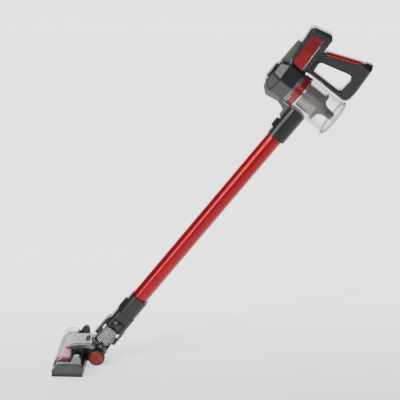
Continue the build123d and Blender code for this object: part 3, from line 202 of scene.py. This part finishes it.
def fibres(name, dark, light, scale=420.0):
    """Packed fibres: strands of mixed tone with a soft sheen."""
    m, n, l, b = tree(name)
    coord = n.new("ShaderNodeTexCoord").outputs["Object"]
    strands = noise(n, l, coord, scale, 6.0, 0.7)
    cloud = noise(n, l, coord, 45.0, 3.0)
    mx = n.new("ShaderNodeMath")
    mx.operation = "MULTIPLY"
    l.new(strands.outputs["Fac"], mx.inputs[0])
    l.new(cloud.outputs["Fac"], mx.inputs[1])
    l.new(ramp(n, l, mx.outputs["Value"], [(0.12, dark), (0.4, light)]), b.inputs["Base Color"])
    bp = n.new("ShaderNodeBump")
    bp.inputs["Strength"].default_value = 0.5
    bp.inputs["Distance"].default_value = 0.0008
    l.new(strands.outputs["Fac"], bp.inputs["Height"])
    l.new(bp.outputs["Normal"], b.inputs["Normal"])
    b.inputs["Roughness"].default_value = 0.85
    b.inputs["Sheen Weight"].default_value = 0.5
    return m


def mesh_metal(name, colour):
    """Fine perforated sheet: a staggered field of tiny holes over brushed metal."""
    m, n, l, b = tree(name)
    coord = n.new("ShaderNodeTexCoord").outputs["Object"]
    vor = n.new("ShaderNodeTexVoronoi")
    vor.inputs["Scale"].default_value = 620.0
    vor.inputs["Randomness"].default_value = 0.0
    l.new(coord, vor.inputs["Vector"])
    cloud = noise(n, l, coord, 30.0, 3.0)
    metal = ramp(n, l, cloud.outputs["Fac"], [(0.3, shade(colour, 0.85)), (0.7, shade(colour, 1.15))])
    holes = ramp(n, l, vor.outputs["Distance"], [(0.2, (0.35, 0.35, 0.35)), (0.34, (1, 1, 1))])
    mix = n.new("ShaderNodeMix")
    mix.data_type = "RGBA"
    mix.blend_type = "MULTIPLY"
    mix.inputs["Factor"].default_value = 0.45
    l.new(metal, mix.inputs["A"])
    l.new(holes, mix.inputs["B"])
    l.new(mix.outputs["Result"], b.inputs["Base Color"])
    bp = n.new("ShaderNodeBump")
    bp.inputs["Strength"].default_value = 0.25
    bp.inputs["Distance"].default_value = 0.0003
    l.new(vor.outputs["Distance"], bp.inputs["Height"])
    l.new(bp.outputs["Normal"], b.inputs["Normal"])
    b.inputs["Metallic"].default_value = 0.9
    b.inputs["Roughness"].default_value = 0.36
    return m


GRAPHITE = moulded("graphite_satin", (0.02, 0.0205, 0.0225), 0.27, bump=0.05,
                   coat=0.2, coat_rough=0.15, spec=0.45)
GRAPHITE_2 = moulded("graphite_deep", (0.011, 0.0113, 0.0125), 0.34, bump=0.06, coat=0.08, spec=0.38)
BLACK = moulded("black_moulded", (0.005, 0.005, 0.0055), 0.4, bump=0.1, spec=0.3)
# very dark rubbery finish for the real seals, also used as painted shade in the vent holes, screw recesses and
# bellows grooves
SEAL_AND_SHADE = moulded("black_seal_and_shade", (0.004, 0.004, 0.0045), 0.6, grain=1500, bump=0.2, spec=0.25)
BUTTON = moulded("button_rubber", (0.022, 0.007, 0.008), 0.5, grain=1400, bump=0.25, spec=0.3)
RED = moulded("red_gloss", (0.2, 0.0008, 0.0025), 0.2, grain=500, bump=0.02, vary=0.08,
              coat=0.35, coat_rough=0.05, spec=0.4)
RED_DISC = moulded("red_disc", (0.17, 0.001, 0.003), 0.3, grain=500, bump=0.05, vary=0.1,
                   coat=0.15, coat_rough=0.15, spec=0.35)
TUBE = brushed("candy_red_tube", (0.3, 0.0012, 0.007), 0.34, along="z", metallic=0.72,
               strength=0.0, coat=0.25)
SILVER = moulded("silver_paint", (0.14, 0.142, 0.149), 0.3, grain=1600, bump=0.08, vary=0.07, metallic=0.6,
                 coat=0.4, coat_rough=0.18, wear=0.2)
SILVER_2 = moulded("silver_bright", (0.4, 0.405, 0.42), 0.22, grain=1600, bump=0.05, vary=0.06,
                   metallic=0.75, coat=0.4)
MID = moulded("mid_grey", (0.075, 0.076, 0.08), 0.38, bump=0.1, vary=0.08, wear=0.3, coat=0.2)
CHROME = brushed("chrome_ring", (0.6, 0.61, 0.63), 0.12, along="v", strength=0.03)
STEEL = brushed("steel_pin", (0.4, 0.4, 0.42), 0.28, along="x", strength=0.1)
SHROUD = mesh_metal("shroud_metal", (0.3, 0.27, 0.245))
MAUVE = moulded("mauve_grey", (0.1, 0.085, 0.093), 0.36, bump=0.08, vary=0.1, wear=0.2, coat=0.2)
CLEAR = clear("clear_bin", (0.42, 0.43, 0.44), low=0.02, high=0.6, haze=0.015)
WINDOW = clear("clear_window", (0.5, 0.46, 0.48), low=0.02, high=0.35, haze=0.02)
TYRE = moulded("tyre_rubber", (0.009, 0.009, 0.0095), 0.7, grain=700, bump=0.35, vary=0.2)
PINK = fibres("brush_pile", (0.5, 0.05, 0.1), (0.9, 0.32, 0.42))
FELT = fibres("filter_felt", (0.35, 0.34, 0.32), (0.7, 0.69, 0.66), 300.0)
CELL = moulded("cell_wrap", (0.01, 0.04, 0.08), 0.35, grain=500, bump=0.03, coat=0.4)
COIL = moulded("bellows_silver", (0.66, 0.66, 0.67), 0.3, bump=0.04, vary=0.05, metallic=0.15, coat=0.3)


def banded(name, colour, low_colour, height):
    """Moulded plastic whose foot, below a height, is black rubbery plastic."""
    m = moulded(name, colour, 0.32, bump=0.06, coat=0.1, coat_rough=0.2, spec=0.4)
    n, l = m.node_tree.nodes, m.node_tree.links
    b = n["Principled BSDF"]
    above = b.inputs["Base Color"].links[0].from_socket
    xyz = n.new("ShaderNodeSeparateXYZ")
    l.new(n.new("ShaderNodeTexCoord").outputs["Object"], xyz.inputs[0])
    r = n.new("ShaderNodeMapRange")
    l.new(xyz.outputs["Z"], r.inputs["Value"])
    r.inputs["From Min"].default_value, r.inputs["From Max"].default_value = height - 0.0002, height + 0.0002
    mix = n.new("ShaderNodeMix")
    mix.data_type = "RGBA"
    l.new(r.outputs["Result"], mix.inputs["Factor"])
    mix.inputs["A"].default_value = (*low_colour, 1)
    l.new(above, mix.inputs["B"])
    l.new(mix.outputs["Result"], b.inputs["Base Color"])
    return m


PANEL_FOOT = banded("panel_banded", (0.03, 0.031, 0.034), (0.004, 0.004, 0.0045), 0.0105)

FINISH = {
    "body_shell_left": GRAPHITE, "body_shell_right": GRAPHITE, "side_covers": RED, "grip_strip": RED,
    "handle_cap": BLACK, "front_brace": MID, "battery_cells": CELL, "charge_jack": BLACK,
    "motor_housing": GRAPHITE, "front_bezel": GRAPHITE_2, "front_cap": SILVER_2, "front_grille": BLACK,
    "belly_shell": MID, "silver_collar": SILVER, "motor": STEEL, "motor_mount": SEAL_AND_SHADE, "hepa_filter": FELT,
    "pre_filter": FELT, "shroud": SHROUD, "shroud_skirt": MAUVE, "cyclone_cone": MAUVE,
    "inlet_neck": GRAPHITE_2,
    "neck_bracket": MID, "impeller": STEEL, "lock_ring": RED, "bin_cup": CLEAR, "bin_trim": CHROME,
    "hinge_pin": STEEL, "bin_lid": CLEAR, "lid_latch": BLACK, "power_button": BUTTON, "mode_button": BUTTON,
    "wand_tube": TUBE, "lower_collar": GRAPHITE_2, "upper_collar": GRAPHITE_2, "upper_release": BUTTON,
    "lower_release": BUTTON, "neck_shell": GRAPHITE_2, "swivel_pins": GRAPHITE_2, "bellows": COIL, "elbow": MID,
    "head_base": BLACK, "sole_plate": SILVER, "front_bumper": SEAL_AND_SHADE, "window": WINDOW, "bridge_cover": SILVER,
    "bridge_vent": SEAL_AND_SHADE, "end_caps": SILVER, "side_panels": PANEL_FOOT, "brush_motor": STEEL, "belt": SEAL_AND_SHADE,
    "wheel_axle": STEEL, "brush_core": RED_DISC, "bristles": PINK, "drive_pulley": STEEL, "tyre_left": TYRE,
    "tyre_right": TYRE, "wheel_hub_left": RED_DISC, "wheel_hub_right": RED_DISC, "front_rollers": TYRE,
}
for name, node in nodes.items():
    if node.type != "MESH":
        continue
    finish = FINISH[name]
    if node.material_slots:
        for s in node.material_slots:
            s.material = finish
    else:
        node.data.materials.append(finish)


# --------------------------------------------------------------------- pieces
def piece(name, bm, material, body, smooth=True, stands_for=()):
    """Makes an object from a bmesh and puts it on its body."""
    mesh = bpy.data.meshes.new(name)
    bmesh.ops.recalc_face_normals(bm, faces=bm.faces)
    bm.to_mesh(mesh)
    bm.free()
    o = bpy.data.objects.new(name, mesh)
    bpy.context.scene.collection.objects.link(o)
    mesh.materials.append(material)
    for p in mesh.polygons:
        p.use_smooth = smooth
    if body:
        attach(o, body)
    if stands_for:
        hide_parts(*stands_for)
    return o


def frame_of(axis):
    """Two unit directions square to an axis."""
    axis = axis.normalized()
    a = X_DIR if abs(axis.dot(X_DIR)) < 0.9 else U_DIR
    e1 = (a - axis * a.dot(axis)).normalized()
    return e1, axis.cross(e1)


def revolve(bm, origin, axis, profile, steps=96, closed=True):
    """Turns a (distance along, radius) profile about an axis."""
    e1, e2 = frame_of(axis)
    axis = axis.normalized()
    rings = []
    for k in range(steps):
        t = 2 * math.pi * k / steps
        d = e1 * math.cos(t) + e2 * math.sin(t)
        rings.append([bm.verts.new(origin + axis * a + d * r) for a, r in profile])
    count = len(profile)
    for k in range(steps):
        here, there = rings[k], rings[(k + 1) % steps]
        for i in range(count if closed else count - 1):
            j = (i + 1) % count
            bm.faces.new((here[i], here[j], there[j], there[i]))


def rounded(a, b, w, h, n=5):
    """A rounded-rectangle profile centred on (a, b)."""
    r = min(w, h) * 0.42
    out = []
    for cx, cy, start in ((a + w / 2 - r, b + h / 2 - r, 0), (a - w / 2 + r, b + h / 2 - r, 90),
                          (a - w / 2 + r, b - h / 2 + r, 180), (a + w / 2 - r, b - h / 2 + r, 270)):
        for k in range(n):
            t = math.radians(start + 90 * k / (n - 1))
            out.append((cx + r * math.cos(t), cy + r * math.sin(t)))
    return out


# the bellows: a ribbed tube, one soft piece across the swivel
bm = bmesh.new()
RIBS, LOW_U, HIGH_U = 11, 0.003, 0.0542
pitch = (HIGH_U - LOW_U) / RIBS
outer = []
for k in range(RIBS):
    for f, r in ((0.0, 0.0170), (0.22, 0.0172), (0.29, 0.0196), (0.5, 0.0205), (0.71, 0.0196), (0.78, 0.0172)):
        outer.append((LOW_U + (k + f) * pitch, r))
outer.append((HIGH_U, 0.0172))
profile = outer + [(HIGH_U, 0.0155), (LOW_U, 0.0155)]
revolve(bm, at(0, -0.001, 0), U_DIR, profile, 72)
bellows = piece("bellows_ribbed", bm, COIL, None, stands_for=("bellows",))
# the valleys between the ribs take the black finish: painted shade in the grooves
bellows.data.materials.append(SEAL_AND_SHADE)
for p in bellows.data.polygons:
    mid = sum((bellows.data.vertices[i].co for i in p.vertices), Vector()) / len(p.vertices)
    mid = mid - at(0, -0.001, 0)
    if (mid - U_DIR * mid.dot(U_DIR)).length < 0.0187:
        p.material_index = 1
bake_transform(bellows)

# the brush roll's pile: rows of tufts in a spiral over a fleecy sleeve
bm = bmesh.new()
HALF, TIP = 0.0925, 0.0227
across_steps, around = 150, 64
rows = []
for i in range(across_steps + 1):
    x = -HALF + 2 * HALF * i / across_steps
    row = []
    for k in range(around):
        t = 2 * math.pi * k / around
        phase = 3 * t + x * 95
        r = 0.0203 + 0.0009 * math.cos(phase) + rng.uniform(-0.0005, 0.0005)
        row.append(bm.verts.new((x, BRUSH.y + r * math.cos(t), BRUSH.z + r * math.sin(t))))
    rows.append(row)
for i in range(across_steps):
    for k in range(around):
        j = (k + 1) % around
        bm.faces.new((rows[i][k], rows[i][j], rows[i + 1][j], rows[i + 1][k]))
for strip in range(3):
    for i in range(230):
        x = -HALF + 0.001 + (2 * HALF - 0.002) * i / 229
        base = (2 * math.pi * strip - x * 95) / 3
        for q in range(3):
            t = base + rng.uniform(-0.1, 0.1)
            w = 0.00045
            tip = TIP - rng.uniform(0, 0.0008)
            d = Vector((0, math.cos(t), math.sin(t)))
            e = Vector((0, -math.sin(t), math.cos(t)))
            xx = x + rng.uniform(-0.0005, 0.0005)
            foot = Vector((xx, BRUSH.y, BRUSH.z)) + d * 0.019
            corners = [bm.verts.new(foot + e * (w * math.cos(a)) + X_DIR * (w * math.sin(a)))
                       for a in (0, 2.1, 4.2)]
            end = bm.verts.new(Vector((xx, BRUSH.y, BRUSH.z)) + d * tip + e * rng.uniform(-0.0006, 0.0006))
            for a in range(3):
                bm.faces.new((corners[a], corners[(a + 1) % 3], end))
piece("brush_pile", bm, PINK, "brush", stands_for=("bristles",))

# dark seal round the bin's mouth and a thin bead on the lid's rim
bm = bmesh.new()
revolve(bm, at(0, 0.0797, BIN_U), V_DIR, rounded(0, 0.0489, 0.0018, 0.0022))
piece("bin_mouth_seal", bm, SEAL_AND_SHADE, "bin")
bm = bmesh.new()
revolve(bm, at(0, 0.0834, BIN_U), V_DIR, rounded(0.0002, 0.0491, 0.0026, 0.0024))
piece("lid_bead", bm, SEAL_AND_SHADE, "lid")



def swept(bm, path, width, height, normals, n=8):
    """A rounded bead along a path; width lies across it and height stands along its normal."""
    rings = []
    for i, p in enumerate(path):
        fore = path[min(i + 1, len(path) - 1)] - path[max(i - 1, 0)]
        fore.normalize()
        up = normals[i] if isinstance(normals, list) else normals
        up = (up - fore * up.dot(fore)).normalized()
        across = fore.cross(up)
        rings.append([bm.verts.new(p + across * (width / 2 * math.cos(2 * math.pi * k / n))
                                   + up * (height / 2 * math.sin(2 * math.pi * k / n))) for k in range(n)])
    for a, b in zip(rings, rings[1:]):
        for k in range(n):
            j = (k + 1) % n
            bm.faces.new((a[k], a[j], b[j], b[k]))
    bm.faces.new(rings[0])
    bm.faces.new(rings[-1])


def rounded_path(points, radius, n=6):
    """Rounds the corners of a (v, u) outline, open at both ends."""
    out = [points[0]]
    for before, here, after in zip(points, points[1:], points[2:]):
        p, a, b = Vector(here), Vector(before) - Vector(here), Vector(after) - Vector(here)
        r = min(radius, a.length / 2.2, b.length / 2.2)
        s0, s1 = p + a.normalized() * r, p + b.normalized() * r
        for k in range(n + 1):
            t = k / n
            out.append(tuple(s0 * (1 - t) ** 2 + p * 2 * t * (1 - t) + s1 * t ** 2))
    return out + [points[-1]]


def plate(bm, outline, x0, x1):
    """A flat plate between two x planes from a (v, u) outline."""
    low = [bm.verts.new(at(x0, v, u)) for v, u in outline]
    high = [bm.verts.new(at(x1, v, u)) for v, u in outline]
    bm.faces.new(low)
    bm.faces.new(high)
    for i in range(len(outline)):
        j = (i + 1) % len(outline)
        bm.faces.new((low[i], low[j], high[j], high[i]))


def soften(bm, width, segments=2):
    bmesh.ops.recalc_face_normals(bm, faces=bm.faces)
    bmesh.ops.bevel(bm, geom=[e for e in bm.edges if e.calc_face_angle(0) > 0.7], offset=width,
                    segments=segments, affect="EDGES", clamp_overlap=True)


# silver lines: under the lower arm, and down the rear edge of each side panel
bm = bmesh.new()
arm_line = [(-0.040, ARM_U + 0.0022), (0.0683, ARM_U + 0.0022), (0.0785, ARM_U + 0.0075),
            (0.0818, ARM_U + 0.0185),
            (0.0818, ARM_U + 0.030)]
for side in (-1, 1):
    route = rounded_path(arm_line, 0.008)
    out = Vector((side, 0, 0))
    swept(bm, [at(side * 0.01385, v, u) for v, u in route], 0.0034, 0.0014,
          [(out + (V_DIR * 0.9 if v > 0.079 else -U_DIR * 0.9)).normalized() for v, u in route])
piece("arm_line", bm, SILVER_2, "handheld")
bm = bmesh.new()
for side in (-1, 1):
    swept(bm, [at(side * 0.0272, -0.0668 + 0.0058 * t, BLOCK_U + 0.0965 - 0.093 * t)
               for t in (0, 0.25, 0.5, 0.75, 1)],
          0.0013, 0.0009, Vector((side, 0, 0)))
piece("panel_line", bm, SILVER_2, "handheld")

# the side panels' round vents get dark discs, painted shade inside the holes, and a raised rib frames each
# panel's foot
bm = bmesh.new()
for side in (-1, 1):
    for i in range(4):
        for k in range(6):
            v = -0.0805 + (i - 1.5) * 0.0054
            u = BLOCK_U + 0.070 + (k - 2.5) * 0.0064
            revolve(bm, at(side * 0.0258, v, u), X_DIR * side,
                    [(0.0010, 0.00005), (0.0010, 0.0019), (0.0016, 0.0018),
                                                              (0.0013, 0.00005)], 14)
piece("vent_hole_painted_shade", bm, SEAL_AND_SHADE, "handheld")
bm = bmesh.new()
for side in (-1, 1):
    swept(bm, [at(side * 0.0272, v, u) for v, u in rounded_path(
        [(-0.0905, BLOCK_U + 0.040), (-0.0885, BLOCK_U + 0.012), (-0.0665, BLOCK_U + 0.0085)], 0.004)],
        0.0014, 0.001, Vector((side, 0, 0)))
piece("panel_rib", bm, RED, "handheld")

# facet plates round the sloped nose of the motor housing
def facet_plate(bm, turn, inset, low, high, lift):
    mid_a, mid_b = math.radians(turn - 30), math.radians(turn + 30)
    def corner(v, ring, angle):
        return at(ring * math.cos(angle), v, BIN_U + ring * math.sin(angle))
    hex_ring, nose_ring = 0.0498, 0.0344
    out = (X_DIR * math.cos(math.radians(turn)) + U_DIR * math.sin(math.radians(turn)))
    slope = Vector(corner(-0.117, nose_ring, mid_a)) - Vector(corner(-0.091, hex_ring, mid_a))
    flat = (corner(-0.091, hex_ring, mid_b) - corner(-0.091, hex_ring, mid_a)).normalized()
    normal = flat.cross(slope).normalized()
    if normal.dot(out) < 0:
        normal = -normal
    verts = []
    for f, g in ((low, inset), (low, 1 - inset), (high, 1 - inset), (high, inset)):
        a0 = corner(-0.091, hex_ring, mid_a).lerp(corner(-0.117, nose_ring, mid_a), f)
        b0 = corner(-0.091, hex_ring, mid_b).lerp(corner(-0.117, nose_ring, mid_b), f)
        verts.append(a0.lerp(b0, g))
    bottom = [bm.verts.new(p - normal * 0.0004) for p in verts]
    top = [bm.verts.new(p + normal * lift) for p in verts]
    bm.faces.new(top)
    bm.faces.new(bottom)
    for i in range(4):
        j = (i + 1) % 4
        bm.faces.new((bottom[i], bottom[j], top[j], top[i]))


bm = bmesh.new()
for turn in (30, 150):
    facet_plate(bm, turn, 0.07, 0.08, 0.86, 0.0011)
soften(bm, 0.0009)
piece("nose_plates", bm, SILVER_2, "handheld", smooth=False)
bm = bmesh.new()
for turn in (-30, 210):
    facet_plate(bm, turn, 0.07, 0.1, 0.9, 0.0009)
soften(bm, 0.0008)
piece("nose_plates_low", bm, GRAPHITE, "handheld", smooth=False)

# the red saddle over the grip: an arched skin along the top bar
bm = bmesh.new()
rows = []
for i in range(25):
    t = i / 24
    v = -0.0405 + t * 0.0925
    top = BIN_U + 0.123 + (v + 0.044) / 0.096 * 0.0395 + 0.0004
    half, drop = 0.0163, 0.0112 - 0.002 * t
    dip = min(1.0, t / 0.06, (1 - t) / 0.06)
    row = []
    for x, d in ((half, drop), (half + 0.0002, drop * 0.6), (half - 0.0003, 0.0046), (half - 0.0022, 0.0022),
                 (half - 0.0048, 0.0006), (0.007, 0.0), (0.0, -0.0002)):
        row.append((x, d * dip + 0.0006 * (1 - dip)))
    full = row + [(-x, d) for x, d in reversed(row[:-1])]
    rows.append([bm.verts.new(at(x, v + d * -0.38, top - d)) for x, d in full])
for r0, r1 in zip(rows, rows[1:]):
    for k in range(len(r0) - 1):
        bm.faces.new((r0[k], r0[k + 1], r1[k + 1], r1[k]))
saddle = piece("grip_saddle", bm, RED, "handheld", stands_for=("grip_strip",))
solid = saddle.modifiers.new("thickness", "SOLIDIFY")
solid.thickness, solid.offset = 0.0008, -1

# seals of the floor head: along the window's front edge and its ends
bm = bmesh.new()
front = BRUSH + Vector((0, -0.0286, 0.0030))
swept(bm, [front + X_DIR * x for x in (-0.1045, -0.05, 0, 0.05, 0.1045)], 0.0036, 0.0032, Vector((0, -1, 0)))
for side in (-1, 1):
    arc = [BRUSH + Vector((side * 0.1042, 0.0292 * math.cos(math.radians(a)),
                           0.0292 * math.sin(math.radians(a))))
           for a in range(62, 177, 8)]
    swept(bm, arc, 0.0015, 0.0015, X_DIR * side)
piece("window_seal", bm, SEAL_AND_SHADE, "head")

# wheel discs: a raised rim, a centre boss and shallow spokes
for side, where in ((-1, "left"), (1, "right")):
    hub = Vector((side * 0.0392, AXLE_Y, 0.022))
    out = X_DIR * side
    bm = bmesh.new()
    revolve(bm, hub, out, rounded(0.0001, 0.0172, 0.0012, 0.0022), 64)
    revolve(bm, hub, out, [(-0.0002, 0.0001), (-0.0002, 0.0046), (0.0007, 0.0042), (0.0009, 0.003),
                           (0.0009, 0.0001)], 40)
    for k in range(5):
        t = 2 * math.pi * k / 5 + 0.3
        d = Vector((0, math.cos(t), math.sin(t)))
        swept(bm, [hub + d * r for r in (0.005, 0.009, 0.013, 0.0165)], 0.0024, 0.0009, out)
    piece("wheel_disc_" + where, bm, RED_DISC, "wheel_" + where)
    bm = bmesh.new()
    for k in range(36):
        t = 2 * math.pi * k / 36
        d = Vector((0, math.cos(t), math.sin(t)))
        e = Vector((0, -math.sin(t), math.cos(t)))
        base = Vector((side * 0.032, AXLE_Y, 0.022)) + d * 0.02195
        swept(bm, [base + X_DIR * x for x in (-0.0052, 0, 0.0052)], 0.0009, 0.0003, d, 6)
    piece("tread_" + where, bm, SEAL_AND_SHADE, "wheel_" + where)

# finger ridges on the two release buttons
for name, body in (("upper_release", "upper_key"), ("lower_release", "lower_key")):
    low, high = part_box(name)
    mid = (Vector(low) + Vector(high)) / 2 - PIVOT
    u0, v0 = mid.dot(U_DIR), mid.dot(V_DIR)
    mesh = nodes[name].data
    face_v = min((x.co - PIVOT).dot(V_DIR) for x in mesh.vertices)
    bm = bmesh.new()
    for k in range(5):
        u = u0 + (k - 2) * 0.0032
        swept(bm, [at(x, face_v + 0.0001, u) for x in (-0.0048, 0, 0.0048)], 0.0012, 0.0009, -V_DIR)
    piece(name + "_ridges", bm, BUTTON, body)

# cover plates seated in the neck's two side pockets
bm = bmesh.new()
PLATE = [(-0.0148, 0.0562), (0.0148, 0.0562), (0.0148, 0.0878), (-0.0148, 0.0878)]
for side in (-1, 1):
    plate(bm, [(v + 0.0005, u) for v, u in PLATE], side * 0.0236, side * 0.02475)
soften(bm, 0.0006)
piece("neck_plates", bm, GRAPHITE_2, "neck")

# cross-head screws in the handle's far side
SCREWS = ((0.070, ARM_U + 0.012), (0.0665, ARM_U + 0.080), (-0.043, ARM_U + 0.008), (-0.040, ARM_U + 0.055))
HEAD_PROFILE = [(-0.0003, 0.0001), (-0.0003, 0.0026), (0.0001, 0.0026), (0.0004, 0.0021), (0.0004, 0.0001)]
bm = bmesh.new()
for v, u in SCREWS:
    head = at(-0.0161, v, u)
    revolve(bm, head, -X_DIR, HEAD_PROFILE, 32)
piece("screw_heads", bm, STEEL, "handheld", smooth=False)
# dark crosses on the screw heads: painted shade in the cross recesses
bm = bmesh.new()
for v, u in SCREWS:
    for d in (U_DIR, V_DIR):
        swept(bm, [at(-0.0165, v, u) + d * t for t in (-0.0014, 0, 0.0014)], 0.0006, 0.0003, -X_DIR, 6)
piece("screw_recess_painted_shade", bm, SEAL_AND_SHADE, "handheld")

# ---------------------------------------------------------- stage and lights
FLOOR = moulded("pale_floor", (0.9, 0.9, 0.9), 0.55, grain=60, bump=0.02, vary=0.01)
floor_tree = FLOOR.node_tree
floor_shader = floor_tree.nodes["Principled BSDF"]
floor_shader.inputs["Emission Color"].default_value = (1, 1, 1, 1)
# the glow fades from behind the object to in front of it, so the red faces don't mirror it
glow = floor_tree.nodes.new("ShaderNodeMapRange")
place = floor_tree.nodes.new("ShaderNodeSeparateXYZ")
coords = floor_tree.nodes.new("ShaderNodeTexCoord")
floor_tree.links.new(coords.outputs["Object"], place.inputs[0])
floor_tree.links.new(place.outputs["X"], glow.inputs["Value"])
glow.interpolation_type = "SMOOTHSTEP"
for socket, amount in (("From Min", -0.9), ("From Max", 0.7), ("To Min", 1.7), ("To Max", 0.35)):
    glow.inputs[socket].default_value = amount
floor_tree.links.new(glow.outputs["Result"], floor_shader.inputs["Emission Strength"])
bm = bmesh.new()
half, back, rise, turn = 6.0, -6.0, 5.0, 1.2
line = [(6.0, 0.0)] + [(back + turn - turn * math.sin(math.radians(a)), turn - turn * math.cos(math.radians(a)))
                       for a in range(0, 91, 10)] + [(back, rise)]
grid = [[bm.verts.new((x, y, z)) for y in (-half, half)] for x, z in line]
for a, b2 in zip(grid, grid[1:]):
    bm.faces.new((a[0], a[1], b2[1], b2[0]))
mesh = bpy.data.meshes.new("sweep")
bm.to_mesh(mesh)
bm.free()
floor = bpy.data.objects.new("sweep", mesh)
bpy.context.scene.collection.objects.link(floor)
for p in mesh.polygons:
    p.use_smooth = True
mesh.materials.append(FLOOR)


def lamp(name, place, target, size, power, tall=None):
    data = bpy.data.lights.new(name, "AREA")
    data.energy = power
    data.shape = "RECTANGLE"
    data.size, data.size_y = size, tall or size
    o = bpy.data.objects.new(name, data)
    bpy.context.scene.collection.objects.link(o)
    o.location = place
    o.rotation_euler = (Vector(target) - Vector(place)).to_track_quat("-Z", "Y").to_euler()
    return o


def strip(name, place, length, width, power):
    """A long narrow light lying along the wand, for its highlights."""
    o = lamp(name, place, at(0, 0, 0.45), length, power, width)
    away = (Vector(place) - at(0, 0, 0.45)).normalized()
    along = (U_DIR - away * U_DIR.dot(away)).normalized()
    o.rotation_euler = Matrix((along, away.cross(along), away)).transposed().to_euler()
    return o


lamp("key", (1.8, -2.4, 2.6), (0, 0, 0.5), 0.9, 60)
lamp("fill", (3.2, 2.0, 1.4), (0, 0, 0.45), 1.6, 8)
lamp("top", (-0.6, 0.2, 3.4), (0, 0, 0.4), 1.6, 46)
strip("strip_front", at(1.5, -1.5, 0.5), 2.2, 0.22, 34)
strip("strip_back", at(1.1, 1.5, 0.6), 2.0, 0.12, 7)
world = bpy.data.worlds.new("studio")
bpy.context.scene.world = world
world.use_nodes = True
world.node_tree.nodes["Background"].inputs["Color"].default_value = (0.95, 0.96, 0.97, 1)
world.node_tree.nodes["Background"].inputs["Strength"].default_value = 0.2

# --------------------------------------------------------------------- camera
AZ, EL, DIST = math.radians(93.0), math.radians(17.0), 4.25
TARGET = Vector((0, -0.027, 0.459))
cam_data = bpy.data.cameras.new("camera")
cam_data.lens, cam_data.sensor_width = 146.0, 36.0
cam_data.clip_end = 60.0
cam = bpy.data.objects.new("camera", cam_data)
bpy.context.scene.collection.objects.link(cam)
view_dir = Vector((math.cos(EL) * math.sin(AZ), -math.cos(EL) * math.cos(AZ), math.sin(EL)))
cam.location = TARGET + DIST * view_dir
cam.rotation_euler = (TARGET - cam.location).to_track_quat("-Z", "Y").to_euler()
bpy.context.scene.camera = cam
